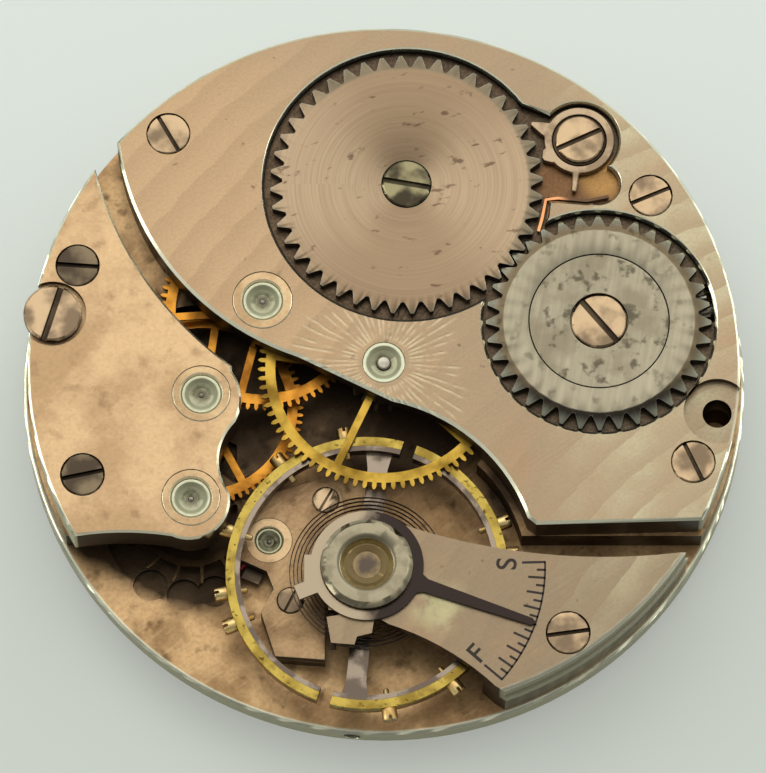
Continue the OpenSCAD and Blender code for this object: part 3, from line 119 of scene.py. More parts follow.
class Finish:
    """One material: its shader, and the nodes that make it vary over the surface."""

    def __init__(self, name, **constants):
        self.material = bpy.data.materials.new(name)
        self.material.use_nodes = True
        self.tree = self.material.node_tree
        self.shader = self.tree.nodes["Principled BSDF"]
        for key, value in constants.items():
            self.shader.inputs[key.replace("_", " ")].default_value = value

    def node(self, kind, settings, sockets, output=0):
        made = self.tree.nodes.new(kind)
        for key, value in settings.items():
            setattr(made, key, value)
        for key, value in sockets.items():
            self.feed(made.inputs[key], value)
        return Value(self, made.outputs[output])

    def feed(self, socket, value):
        if isinstance(value, Value):
            self.tree.links.new(value.socket, socket)
        else:
            socket.default_value = value

    def place(self, centre=(0, 0), turn=0.0, stretch=(1, 1, 1)):
        """Where a point of the piece is, in millimetres from a centre, turned and stretched."""
        point = self.node("ShaderNodeTexCoord", {}, {}, "Object")
        return self.node("ShaderNodeMapping", {"vector_type": "TEXTURE"}, {
            "Vector": point,
            "Location": (centre[0] * MM, centre[1] * MM, 0),
            "Rotation": (0, 0, math.radians(turn)),
            "Scale": [s * MM for s in stretch],
        })

    def noise(self, where, scale, detail=3.0):
        """A cloudy pattern from 0 to 1, with scale clouds to a millimetre."""
        sockets = {"Vector": where, "Scale": scale, "Detail": detail}
        return self.node("ShaderNodeTexNoise", {}, sockets)

    def ramp(self, value, low, high):
        """0 where the value is under low, 1 where it is over high, and smooth between."""
        sockets = {"Value": value, "From Min": low, "From Max": high}
        return self.node("ShaderNodeMapRange", {"interpolation_type": "SMOOTHSTEP"}, sockets)

    def blend(self, factor, under, over):
        """One colour laid over another, as far as the factor says."""
        return self.node("ShaderNodeMix", {"data_type": "RGBA"}, {0: factor, 6: under, 7: over}, 2)

    def radius(self, where):
        """How far a point is from the upright line through its centre."""
        flat = self.node("ShaderNodeVectorMath", {"operation": "MULTIPLY"}, {0: where, 1: (1, 1, 0)})
        return self.node("ShaderNodeVectorMath", {"operation": "LENGTH"}, {0: flat}, 1)

    def part(self, where, axis):
        """One of the three distances of a point: 0 to the right, 1 away, 2 up."""
        return self.node("ShaderNodeSeparateXYZ", {}, {0: where}, axis)

    def angle(self, where):
        """The direction of a point round its centre, in radians."""
        return self.maths_of("ARCTAN2", self.part(where, 1), self.part(where, 0))

    def maths_of(self, operation, first, second):
        return self.node("ShaderNodeMath", {"operation": operation}, {0: first, 1: second})

    def lean(self):
        """1 on a level face, 0 on an upright wall."""
        return self.part(self.node("ShaderNodeNewGeometry", {}, {}, 1), 2).size()

    def disc(self, centre, size, soft=0.15):
        """1 inside a circle round a centre, 0 outside it."""
        return 1 - self.ramp(self.radius(self.place(centre)), size - soft, size + soft)

    def painted_walls_and_bevel(self, colour, roughness, wall_shade, bevel, keep=0.0):
        """Upright walls painted dark as shade, and a polished bevel between them and the flat top
        painted pale as a highlight.
        """
        lean = self.lean()
        shaded_upright = (1 - self.ramp(lean, 0.15, 0.35)) * (1 - keep)
        highlit_slope = self.ramp(lean, 0.25, 0.45) * (1 - self.ramp(lean, 0.9, 0.98))
        # Painted shade on the walls, then a painted highlight on the bevel.
        colour = self.blend(shaded_upright * 0.9, colour, wall_shade)
        colour = self.blend(highlit_slope * 0.85, colour, bevel)
        return colour, roughness - 0.22 * highlit_slope

    def finish(self, colour=None, roughness=None, relief=None, depth=0.01):
        """Joins the varying colour, roughness and relief (depth in millimetres) to the shader."""
        if colour is not None:
            self.feed(self.shader.inputs["Base Color"], colour)
        if roughness is not None:
            self.feed(self.shader.inputs["Roughness"], roughness)
        if relief is not None:
            sockets = {"Strength": 1.0, "Distance": depth * MM, "Height": relief}
            self.feed(self.shader.inputs["Normal"], self.node("ShaderNodeBump", {}, sockets))
        return self.material


def gilt(name, bright, dull, stain, amount=0.6, shaded_places=(), rim_radius=BRIDGE_RIM):
    """Frosted gilding: a cloudy tone, fine grain, brown stains, and painted shade in the places
    named.
    """
    made = Finish(name, Metallic=0.9)
    where = made.place()
    cloud = made.ramp(made.noise(where, 0.3, 5.0), 0.38, 0.62)
    grain = made.noise(where, 5.0, 5.0)
    spots = made.ramp(made.noise(where, 1.1, 6.0), 0.54, 0.74)
    colour = made.blend(cloud, bright, dull)
    colour = made.blend(made.ramp(grain, 0.35, 0.7) * 0.22, colour, stain)
    colour = made.blend(spots * amount, colour, stain)
    scratch = made.ramp(made.noise(made.place(turn=38, stretch=(3, 0.5, 1)), 2.2, 4.0), 0.56, 0.66)
    colour = made.blend(scratch * made.lean() * amount * 0.4, colour, shade(226, 192, 146))
    shaded_mask = 0
    for centre, size in shaded_places:
        shaded_mask = shaded_mask + made.disc(centre, size, 0.9)
    if shaded_places:
        broken = 0.6 + 0.7 * made.noise(where, 0.7, 4.0)
        above = made.ramp(made.part(where, 2), -0.2, 0.2)
        # Painted shade: the places named are darkened, on the top side only.
        colour = made.blend((shaded_mask * broken * above).least(0.92), colour, shade(*PAINTED_SHADE))
    rim = made.ramp(made.radius(where), rim_radius - 0.1, rim_radius)
    rough = 0.4 + 0.14 * cloud + 0.12 * spots
    # Walls are painted dark as shade and the bevel pale as a highlight; the outer rim is painted pale
    # as a reflection of the table.
    colour, rough = made.painted_walls_and_bevel(colour, rough, shade(36, 29, 23), shade(222, 217, 190), rim)
    colour = made.blend(rim * 0.75, colour, shade(208, 207, 184))
    level = made.ramp(made.lean(), 0.75, 0.95)
    return made.finish(colour, rough - 0.12 * rim, grain * (0.12 + 0.88 * level), 0.012)


def eased(piece, edge, material):
    """Rounds the edges of a piece a little, keeps its flat faces flat, and gives it its finish."""
    bevel = piece.modifiers.new("eased edge", "BEVEL")
    bevel.width = edge * MM
    bevel.segments = 2
    bevel.limit_method = "ANGLE"
    bevel.angle_limit = SHARP_OVER
    bpy.ops.object.modifier_apply(modifier="eased edge")
    bpy.ops.object.shade_smooth_by_angle(angle=SMOOTH_UNDER)
    flat = piece.modifiers.new("flat faces", "WEIGHTED_NORMAL")
    flat.keep_sharp = True
    bpy.ops.object.modifier_apply(modifier="flat faces")
    piece.data.materials.clear()
    piece.data.materials.append(material)


def polish_outline(piece, height, width):
    """Cuts the polished bevel along the long outlines of a top face, not round its small holes."""
    ends = [point.co for point in piece.data.vertices]
    beside = {}
    for face in piece.data.polygons:
        for key in face.edge_keys:
            beside.setdefault(key, []).append(abs(face.normal.z))
    rim = []
    for key, leans in beside.items():
        at_top = all(abs(ends[k].z - height) < 0.002 * MM for k in key)
        if at_top and min(leans) < 0.5 and max(leans) > 0.99:
            rim.append(key)
    outline = {k: k for key in rim for k in key}
    for a, b in rim:
        kept = outline[a]
        merged = outline[b]
        if kept != merged:
            outline = {k: kept if mark == merged else mark for k, mark in outline.items()}
    lengths = {}
    for a, b in rim:
        lengths[outline[a]] = lengths.get(outline[a], 0) + (ends[a] - ends[b]).length / MM
    bpy.ops.object.mode_set(mode="EDIT")
    bpy.ops.mesh.select_mode(type="EDGE")
    bpy.ops.mesh.select_all(action="DESELECT")
    bpy.ops.object.mode_set(mode="OBJECT")
    for edge in piece.data.edges:
        edge.select = edge.key in rim and lengths[outline[edge.key[0]]] > LONG_OUTLINE
    bpy.ops.object.mode_set(mode="EDIT")
    bpy.ops.mesh.bevel(offset=width * MM, segments=1, affect="EDGES", clamp_overlap=False)
    bpy.ops.object.mode_set(mode="OBJECT")


def dressed(node, body, edge, material, polished=0):
    """A copy of a CAD node with its edges eased, standing in the node's place; polished is the
    width of the bright bevel along its long outlines, if it has one."""
    bpy.ops.object.select_all(action="DESELECT")
    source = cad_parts[node]
    source.select_set(True)
    bpy.context.view_layer.objects.active = source
    bpy.ops.object.duplicate()
    piece = bpy.context.active_object
    piece.name = "dressed_" + node
    bpy.ops.object.mode_set(mode="EDIT")
    bpy.ops.mesh.select_all(action="SELECT")
    bpy.ops.mesh.remove_doubles(threshold=1e-6)
    bpy.ops.mesh.dissolve_limited(angle_limit=math.radians(1.5))
    bpy.ops.object.mode_set(mode="OBJECT")
    if polished:
        polish_outline(piece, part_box(node)[1].z, polished)
    eased(piece, edge, material)
    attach(piece, body)
    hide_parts(node)
    return piece


def coat(material, *nodes):
    """Gives CAD nodes that stay as they are their finish."""
    for node in nodes:
        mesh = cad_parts[node].data
        mesh.materials.clear()
        mesh.materials.append(material)


# Painted shade over the plate's deep pockets and along the foot of the train bridge's wall.
painted_shade_places = [((-6.6, 2.6), 5.2), ((0.2, 0.4), 6.6), ((-10.2, -5.2), 4.8), ((7.4, -6.2), 2.0),
                ((-10.2, -10.2), 2.6), ((-16.2, -8.5), 1.2), ((-14.6, -8.8), 1.8),
                ((-12.6, -9.4), 2.3), ((-9.0, -9.2), 1.8)]
plate_gilt = gilt("stained_gilding_with_painted_shade", shade(214, 174, 126), shade(180, 142, 100),
                  shade(100, 74, 46), 0.6, painted_shade_places, PLATE_RIM)
dressed("pillar_plate", "plate", 0.06, plate_gilt)
pallet_gilt = gilt("worn_gilding", shade(184, 150, 110), shade(160, 126, 92),
                   shade(100, 76, 50), 0.4)
dressed("pallet_bridge", "plate", 0.05, pallet_gilt)

# Barrel bridge and balance cock: nickel with a rose tint. They are damaskeened in broad curved
# bands, and the bridge has rays cut round the centre jewel. Screws hold both on the plate's lands.
BRIDGE_TOP = 5.7
COCK_TOP = 5.2
RAYS = 25
BAND_CENTRE = (31, -26)
BAND_WIDTH = 1.7


def damaskeened(name, bright, dull, glow, top, rays):
    """The banded finish of a nickel bridge; glow is the colour of painted light on its west side, top
    its height.
    """
    made = Finish(name, Metallic=0.95)
    where = made.place()
    cloud = made.noise(where, 0.13, 3.0)
    sweep = made.radius(made.place(BAND_CENTRE))
    strokes = sweep / BAND_WIDTH + 0.8 * cloud + 0.25 * made.noise(where, 0.8, 2.0)
    bands = made.ramp(strokes - strokes.whole(), 0.05, 1.0)
    grain = made.noise(made.place(turn=34, stretch=(14, 0.4, 1)), 3.0, 2.0)
    mist = made.noise(where, 7.0, 4.0)
    specks = made.ramp(made.noise(where, 1.6, 5.0), 0.68, 0.76)
    rust = made.ramp(made.noise(where, 0.24, 4.0), 0.5, 0.72)
    rim = made.ramp(made.part(where, 0), 8.0, 14.0) * (1.0 if rays else 0.55)
    # Painted light: the west side is painted lighter in the glow colour, and its bands fade there.
    painted_west_light = 1 - made.ramp(made.part(where, 0) + 0.3 * made.part(where, 1), -9.0, 8.0)
    colour = made.blend(bands * (0.3 + 0.5 * rim) * (1 - 0.7 * painted_west_light), dull, bright)
    patches = made.ramp(made.noise(where, 0.35, 3.0), 0.35, 0.65)
    colour = made.blend(rim * (0.15 + 0.55 * bands * patches), colour, shade(206, 197, 162))
    colour = made.blend(painted_west_light * 0.8, colour, glow)
    colour = made.blend(rust * 0.45, colour, shade(176, 140, 106))
    colour = made.blend(made.ramp(mist, 0.3, 0.75) * 0.2, colour, shade(128, 104, 84))
    colour = made.blend(specks * 0.6, colour, shade(96, 74, 56))
    relief = grain * made.ramp(made.lean(), 0.6, 0.9) * 0.4
    if rays:
        turn = made.angle(where) * (RAYS / math.tau)
        share = turn - turn.whole()
        reach = made.radius(where)
        sway = 0.16 * made.noise(where, 0.9, 1.0)
        aside = (share - 0.5 + sway - 0.08).size() * reach * (math.tau / RAYS)
        edge = (aside - 0.052 * reach).size()
        line = 1 - made.ramp(edge, 0.02, 0.12)
        length = 3.4 + 1.7 * (turn.whole() * 12.9898).sine().size()
        near = made.ramp(reach, 1.3, 1.5) * (1 - made.ramp(reach - length, -0.3, 0.3))
        mask = line * near * made.ramp(made.noise(where, 1.4, 2.0), 0.3, 0.66)
        colour = made.blend(mask * 0.5, colour, shade(222, 202, 166))
        relief = relief - 0.8 * mask
    # Painted shade: everything below the top face is darkened, less so in the case screw's seat.
    sunk = 1 - made.ramp(made.part(where, 2), top - 0.2, top - 0.12)
    case_screw_seat = made.disc((18.2, -2.8), 2.0, 0.1)
    lobes = made.blend(made.disc((12.0, 10.9), 1.1, 0.5), shade(118, 82, 52), shade(190, 142, 80))
    lobes = made.blend(made.ramp(mist, 0.35, 0.7) * 0.5, lobes, shade(150, 116, 84))
    recess_shade = sunk * (0.6 + 0.5 * mist) * (1 - 0.75 * case_screw_seat)
    colour = made.blend(recess_shade.least(0.92), colour, shade(62, 48, 38))
    click_seat = (made.disc((11.7, 10.7), 1.6, 0.3) + made.disc((9.7, 10.7), 1.3, 0.3)).least(1.0)
    colour = made.blend(click_seat * sunk * 0.8, colour, lobes)
    if not rays:
        film = made.disc((2.9, -13.7), 1.2, 0.9) * made.ramp(made.noise(where, 1.0, 4.0), 0.35, 0.6)
        colour = made.blend(film * 0.7, colour, shade(196, 188, 142))
    # The outer rim is painted pale as a reflection of the table; the walls are painted dark as shade
    # and the bevel pale as a highlight.
    outer = made.ramp(made.radius(where), BRIDGE_RIM - 0.12, BRIDGE_RIM)
    rough = 0.36 + 0.08 * bands
    colour, rough = made.painted_walls_and_bevel(colour, rough, shade(48, 39, 32), shade(240, 236, 210), outer)
    colour = made.blend(outer * 0.6, colour, shade(210, 204, 180))
    return made.finish(colour, rough, relief, 0.015)


bridge_nickel = damaskeened("rose_nickel_with_rays", shade(190, 166, 134), shade(164, 140, 112),
                            shade(194, 160, 122), BRIDGE_TOP, True)
cock_nickel = damaskeened("rose_nickel", shade(178, 158, 128), shade(148, 127, 102),
                          shade(160, 138, 110), COCK_TOP, False)
dressed("barrel_bridge", "plate", 0.03, bridge_nickel, 0.16)
dressed("balance_cock", "plate", 0.05, cock_nickel)

# Train bridge: gilt brass with a fine even grain. It is sawn to two rounded lobes that reach over
# the fourth and escape arbors, and two dark screws hold it on its land.
train_gilt = gilt("even_gilding", shade(218, 182, 138), shade(208, 170, 128),
                  shade(166, 130, 96), 0.3)
dressed("train_bridge", "plate", 0.03, train_gilt, 0.12)

# Jewels: dished hole jewels of pale corundum, rubbed into gilt settings that are pressed into the
# bridges. The end stones over the balance staff are brown and flat.
settings_gilt = gilt("setting_gilding", shade(220, 186, 142), shade(206, 170, 126),
                     shade(160, 122, 88), 0.3)
dressed("jewel_settings", "plate", 0.03, settings_gilt)
CENTRE = (0, 0)
THIRD = (-6.650, 3.596)
FOURTH = (-9.967, -1.774)
ESCAPE = (-10.484, -7.691)
PALLET = (-6.274, -9.350)
BALANCE = (-0.918, -11.460)
CORUNDUM = 1.76


def jewel(name, centres, rim, ring, middle, size):
    """Corundum painted in rings round each of the centres, a pale rim as a painted reflection and a
    dark middle as painted shade; size is the radius of a stone.
    """
    made = Finish(name, Metallic=0.5, Roughness=0.08, IOR=CORUNDUM)
    reach = made.radius(made.place(centres[0]))
    for centre in centres[1:]:
        reach = reach.least(made.radius(made.place(centre)))
    cloud = made.noise(made.place(), 2.2, 2.0)
    colour = made.blend(made.ramp(reach + 0.5 * size * cloud, 0.45 * size, 0.85 * size), middle, ring)
    colour = made.blend(made.ramp(reach + 0.2 * size * cloud, 0.88 * size, 1.05 * size), colour, rim)
    return made.finish(colour)


# The jewels' rings are a painted reflection at the rim and painted shade in the middle.
pale = jewel("pale_corundum", [CENTRE, THIRD, FOURTH, ESCAPE, PALLET],
             shade(208, 206, 174), shade(168, 164, 130), shade(94, 86, 56), 1.1)
coat(pale, "bridge_jewels", "plate_jewels", "balance_hole_jewels")
brown = jewel("brown_end_stone", [BALANCE],
              shade(190, 164, 100), shade(140, 114, 66), shade(70, 50, 30), 1.5)
coat(brown, "cap_jewels")


# Steel work: pinions, arbors and small levers are hardened steel, cut, ground and polished. They
# are driven into their wheels or held by the bridges. The springs are blued.
def steel(name, bright, dull, roughness=0.24, depth=0.003):
    """Polished steel that has gone cloudy, with fine grinding lines of a depth in millimetres."""
    made = Finish(name, Metallic=1.0)
    where = made.place()
    tone = made.ramp(made.noise(where, 0.8, 4.0), 0.42, 0.58)
    grain = made.noise(made.place(turn=20, stretch=(10, 0.5, 1)), 4.0, 2.0)
    return made.finish(made.blend(tone, bright, dull), roughness + 0.1 * tone, grain, depth)


polished = steel("polished_steel", shade(190, 184, 168), shade(156, 148, 134))
coat(polished, "center_pinion", "third_pinion", "fourth_pinion", "escape_pinion", "pallet_arbor",
     "balance_staff", "roller_table", "barrel_arbor", "cannon_pinion", "winding_arbor",
     "winding_pinion", "clutch_wheel", "yoke", "intermediate_wheel", "setting_wheel")
# The pallet fork is painted dark as shade, as it lies in a shaded hollow.
coat(steel("fork_steel_in_painted_shade", shade(104, 90, 74), shade(76, 64, 52)), "pallet_fork")
blued = steel("blued_steel", shade(52, 48, 66), shade(78, 62, 60), 0.3)
coat(blued, "yoke_spring", "mainspring")


# Train wheels: gilt brass blanks, crossed out with a fine file, cut with pointed teeth and riveted
# to their pinions. The pallet stones and the impulse jewel are ruby, set in shellac.
def wheel_gilding(name, bright, dull):
    """Gilding of a thin piece, whose upright walls are painted brown as shade."""
    made = Finish(name, Metallic=1.0)
    where = made.place()
    tone = made.ramp(made.noise(where, 0.7, 4.0), 0.35, 0.7)
    grain = made.noise(where, 14.0, 2.0)
    colour = made.blend(tone, bright, dull)
    # Painted shade: upright walls are darkened towards brown.
    colour = made.blend((1 - made.ramp(made.lean(), 0.2, 0.5)) * 0.6, colour, shade(96, 58, 24))
    return made.finish(colour, 0.28 + 0.16 * tone, grain, 0.005)


yellow_gilt = wheel_gilding("yellow_gilding", shade(192, 154, 64), shade(136, 104, 40))
orange_gilt = wheel_gilding("orange_gilding", shade(212, 144, 54), shade(146, 90, 32))
coat(yellow_gilt, "center_wheel", "barrel_drum", "barrel_cover", "minute_wheel", "hour_wheel")
coat(orange_gilt, "third_wheel", "fourth_wheel", "hairspring_collet")
# The escape wheel is painted dark as shade, as it lies under the train bridge's edge.
coat(wheel_gilding("escape_brass_in_painted_shade", shade(92, 72, 48), shade(56, 44, 32)), "escape_wheel")
ruby = Finish("red_ruby", Roughness=0.1, Coat_Weight=1.0, IOR=CORUNDUM)
ruby_red = ruby.blend(ruby.noise(ruby.place(), 5.0, 2.0), shade(150, 24, 44), shade(206, 70, 78))
coat(ruby.finish(ruby_red), "pallet_stones", "impulse_jewel")


# Balance: a brass rim brazed to steel with two steel arms, cut through beside each arm, with gold
# timing screws round it.
def spotted_brass():
    """Brass that has kept its colour but for many small dark pits."""
    made = Finish("spotted_brass", Metallic=1.0)
    where = made.place()
    tone = made.ramp(made.noise(where, 0.9, 4.0), 0.35, 0.65)
    pits = made.ramp(made.noise(where, 3.4, 5.0), 0.58, 0.7)
    colour = made.blend(tone, shade(180, 154, 74), shade(134, 110, 48))
    colour = made.blend(pits * 0.6, colour, shade(84, 64, 34))
    return made.finish(colour, 0.24 + 0.3 * pits, 1 - pits, 0.003)


dressed("balance_rim", "balance", 0.04, spotted_brass())
arms_steel = steel("arm_steel", shade(146, 130, 114), shade(108, 94, 82))
dressed("balance_arms", "balance", 0.04, arms_steel)
screw_gold = wheel_gilding("screw_gold", shade(244, 214, 150), shade(206, 156, 84))
dressed("balance_screws", "balance", 0.02, screw_gold)

# Hairspring: one blued steel strip, pinned to the collet and wound in close coils. Its last coil is
# raised over the others and curves in to the stud.
SPRING_LOW = 3.95
SPRING_RAISE = 0.3
COILS = 17
POINTS_A_COIL = 48
COLLET_R = 0.72
LAST_COIL_R = 4.3
STUD_R = 3.56
COLLET_TURN = 389
RAISED_SWEEP = 210
RAISED_POINTS = 40
STRIP_HALF_HEIGHT = 0.09
STRIP_HALF_WIDTH = 0.022


def strip_points():
    """The middle line of the strip: coils from the collet outwards, then the raised one."""
    bends = []
    for i in range(COILS * POINTS_A_COIL + 1):
        turn = i / POINTS_A_COIL
        reach = COLLET_R + (LAST_COIL_R - COLLET_R) * turn / COILS
        bends.append((reach, COLLET_TURN - turn * 360, SPRING_LOW))
    last = bends[-1][1]
    for i in range(1, RAISED_POINTS + 1):
        part = i / RAISED_POINTS
        ease = part * part * (3 - 2 * part)
        reach = LAST_COIL_R - (LAST_COIL_R - STUD_R) * ease
        bends.append((reach, last - RAISED_SWEEP * part, SPRING_LOW + SPRING_RAISE * ease))
    points = []
    for reach, turn, height in bends:
        x = BALANCE[0] + reach * math.cos(math.radians(turn))
        y = BALANCE[1] + reach * math.sin(math.radians(turn))
        points.append((x, y, height))
    return points


bpy.ops.object.select_all(action="DESELECT")
bpy.ops.curve.primitive_bezier_curve_add()
hairspring = bpy.context.active_object
hairspring.name = "coiled_hairspring"
hairspring.data.splines.clear()
strip = hairspring.data.splines.new("POLY")
route = strip_points()
strip.points.add(len(route) - 1)
for point, (x, y, z) in zip(strip.points, route):
    point.co = (x * MM, y * MM, z * MM, 1)
hairspring.data.dimensions = "3D"
hairspring.data.twist_mode = "Z_UP"
hairspring.data.extrude = STRIP_HALF_HEIGHT * MM
hairspring.data.bevel_depth = STRIP_HALF_WIDTH * MM
hairspring.data.bevel_resolution = 0
bpy.ops.object.convert(target="MESH")
spring_blue = steel("spring_blue", shade(96, 82, 72), shade(58, 48, 44), 0.2)
hairspring.data.materials.append(spring_blue)
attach(hairspring, "balance")
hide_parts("hairspring")

# Cock furniture: a bright bevelled cap over the end stone, the blued regulator round it, and the
# engraved scale with its letters for slow and fast.
cap_steel = steel("bright_cap", shade(150, 139, 115), shade(140, 129, 106), 0.24, 0.0005)
dressed("cap_setting", "plate", 0.05, cap_steel)
coat(steel("stud_steel", shade(150, 148, 150), shade(110, 104, 104)), "hairspring_stud")
bluing = Finish("regulator_blue", Metallic=1.0)
where = bluing.place(BALANCE)
kept = bluing.ramp(bluing.part(where, 0) + 1.4 * bluing.noise(where, 1.5, 3.0), 0.1, 1.4)
worn_blue = bluing.finish(bluing.blend(kept, shade(166, 148, 124), shade(54, 45, 42)), 0.3)
dressed("regulator", "regulator", 0.04, worn_blue)

ink = Finish("engraving_black", Roughness=0.6)
grain = ink.noise(ink.place(), 6.0, 3.0)
ink_black = ink.finish(ink.blend(grain, shade(34, 26, 22), shade(66, 52, 42)), 0.5 + 0.3 * grain)
CUT_HEIGHT = 0.012
CUT_BASE = COCK_TOP - 0.004
SCALE_R = 9.72
SCALE_START = 1.5
SCALE_SWEEP = 42.5
ARC_WIDTH = 0.1
CUTS = 17
CUT_WIDTH = 0.13
END_CUT = 1.3
LONG_CUT = 0.95
SHORT_CUT = 0.5
LETTER_SIZE = 1.55
LETTERS = (("S", 6.72, -11.32, 88), ("F", 5.05, -16.38, 48))


def thin_bar(reach, length, width):
    """A flat bar that ends at a reach along x from the origin."""
    bpy.ops.object.select_all(action="DESELECT")
    bpy.ops.mesh.primitive_plane_add(size=1, location=((reach - length / 2) * MM, 0, 0))
    bar = bpy.context.active_object
    bar.scale = (length * MM, width * MM, 1)
    bpy.ops.object.transform_apply(location=True, rotation=False, scale=True)
    return bar


def set_in_scale(mark, turn):
    """Raises a flat mark that is open in edit mode, turns it round the balance and sets it in."""
    bpy.ops.mesh.extrude_region_move(TRANSFORM_OT_translate={"value": (0, 0, CUT_HEIGHT * MM)})
    bpy.ops.mesh.select_all(action="SELECT")
    bpy.ops.mesh.normals_make_consistent(inside=False)
    bpy.ops.object.mode_set(mode="OBJECT")
    mark.rotation_euler = (0, 0, math.radians(turn))
    mark.location = (BALANCE[0] * MM, BALANCE[1] * MM, CUT_BASE * MM)
    bpy.ops.object.transform_apply(location=True, rotation=True, scale=True)
    return mark


def engraved_arc(reach, start, sweep, width):
    """The arc that the cuts of the scale hang on: the far edge of a thin bar, spun round."""
    arc = thin_bar(reach, width, 0.001)
    bpy.ops.object.mode_set(mode="EDIT")
    bpy.ops.mesh.select_mode(type="VERT")
    bpy.ops.mesh.select_all(action="DESELECT")
    bpy.ops.object.mode_set(mode="OBJECT")
    for corner in arc.data.vertices:
        corner.select = corner.co.y > 0
    bpy.ops.object.mode_set(mode="EDIT")
    bpy.ops.mesh.spin(steps=34, angle=math.radians(sweep), center=(0, 0, 0), axis=(0, 0, 1))
    bpy.ops.mesh.select_all(action="SELECT")
    return set_in_scale(arc, start)


def engraved_line(reach, turn, length, width):
    """One cut of the scale: a thin blunt bar from reach inwards, at an angle round the balance."""
    line = thin_bar(reach, length, width)
    bpy.ops.object.mode_set(mode="EDIT")
    bpy.ops.mesh.bevel(offset=width * 0.25 * MM, segments=2, affect="VERTICES")
    return set_in_scale(line, turn)


marks = [engraved_arc(SCALE_R, SCALE_START, SCALE_SWEEP, ARC_WIDTH)]
for i in range(CUTS):
    length = SHORT_CUT if i % 2 else LONG_CUT
    if i in (0, CUTS - 1):
        length = END_CUT
    turn = SCALE_START - SCALE_SWEEP * i / (CUTS - 1)
    marks.append(engraved_line(SCALE_R, turn, length, CUT_WIDTH))
for letter, x, y, turn in LETTERS:
    bpy.ops.object.select_all(action="DESELECT")
    bpy.ops.object.text_add(location=(x * MM, y * MM, CUT_BASE * MM),
                            rotation=(0, 0, math.radians(turn)))
    sign = bpy.context.active_object
    sign.data.body = letter
    sign.data.size = LETTER_SIZE * MM
    sign.data.offset = 0.018 * MM
    sign.data.extrude = CUT_HEIGHT / 2 * MM
    sign.data.align_x = "CENTER"
    sign.data.align_y = "CENTER"
    bpy.ops.object.convert(target="MESH")
    bpy.ops.object.transform_apply(location=True, rotation=True, scale=True)
    marks.append(sign)
bpy.ops.object.select_all(action="DESELECT")
for mark in marks:
    mark.select_set(True)
bpy.context.view_layer.objects.active = marks[0]
bpy.ops.object.join()
scale_marks = bpy.context.active_object
scale_marks.name = "index_scale"
scale_marks.data.materials.clear()
scale_marks.data.materials.append(ink_black)
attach(scale_marks, "plate")

# Winding wheels: the ratchet is snailed steel with a rose cast and sits on the barrel arbor's
# square. The crown wheel is ground steel that turns on a flat core. Both have pointed teeth.
BARREL = (1.251, 10.341)
RATCHET_TEETH = 44
RATCHET_RINGS = (1.38, 6.4, 6.87)
CROWN = (11.793, 2.397)
CROWN_TEETH = 36
CROWN_RINGS = (3.87, 5.18, 5.48)
CROWN_DROP = 0.3
snailed = Finish("snailed_steel", Metallic=1.0)
around = snailed.place(BARREL)
reach = snailed.radius(around)
turn = snailed.angle(around)
drawn_round = {0: reach * 9, 1: turn * 0.6 + reach * 0.25, 2: 0}
coiled = snailed.node("ShaderNodeCombineXYZ", {}, drawn_round)
rings = snailed.noise(coiled, 1.0, 3.0)
glint = (turn * 2 + 1.4 + reach * 0.06).sine() + 0.8 * snailed.noise(around, 0.3, 2.0)
sheen = snailed.ramp(glint, -0.5, 1.5)
blot_noise = snailed.noise(snailed.place(turn=15, stretch=(1.6, 0.7, 1)), 1.7, 6.0)
blots = snailed.ramp(blot_noise, 0.62, 0.72)
colour = snailed.blend(sheen, shade(150, 126, 99), shade(173, 149, 120))
colour = snailed.blend(snailed.ramp(rings, 0.3, 0.7) * 0.3, colour, shade(134, 108, 88))
colour = snailed.blend(blots * 0.7, colour, shade(84, 62, 50))
# Painted shade: the teeth to the north-east are darkened in a patchy tone.
north_east = snailed.ramp(snailed.part(around, 1) + 0.8 * snailed.part(around, 0), -1.0, 3.0)
patchy = snailed.noise(snailed.place(), 0.9, 3.0)
painted_teeth_shade = snailed.blend(patchy, shade(74, 70, 58), shade(146, 132, 108))
colour = snailed.blend(snailed.ramp(reach, 6.6, 6.9) * north_east * 0.8, colour, painted_teeth_shade)
rough = 0.3 + 0.1 * rings
# Walls are painted dark as shade and bevels pale as a highlight.
colour, rough = snailed.painted_walls_and_bevel(colour, rough, shade(46, 39, 36), shade(208, 208, 190))
snailed_steel = snailed.finish(colour, rough, rings, 0.004)
POINTS_A_TOOTH = 6


def teeth_of(node, centre, teeth):
    """How far the tips of a wheel's teeth reach, and the angle at which one of them stands."""
    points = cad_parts[node].data.vertices
    rim = [(point.co.x / MM - centre[0], point.co.y / MM - centre[1]) for point in points]
    tip = max(math.hypot(x, y) for x, y in rim)
    tips = [teeth * math.atan2(y, x) for x, y in rim if math.hypot(x, y) > tip - 0.01]
    phase = math.atan2(sum(math.sin(a) for a in tips), sum(math.cos(a) for a in tips)) / teeth
    return tip, phase


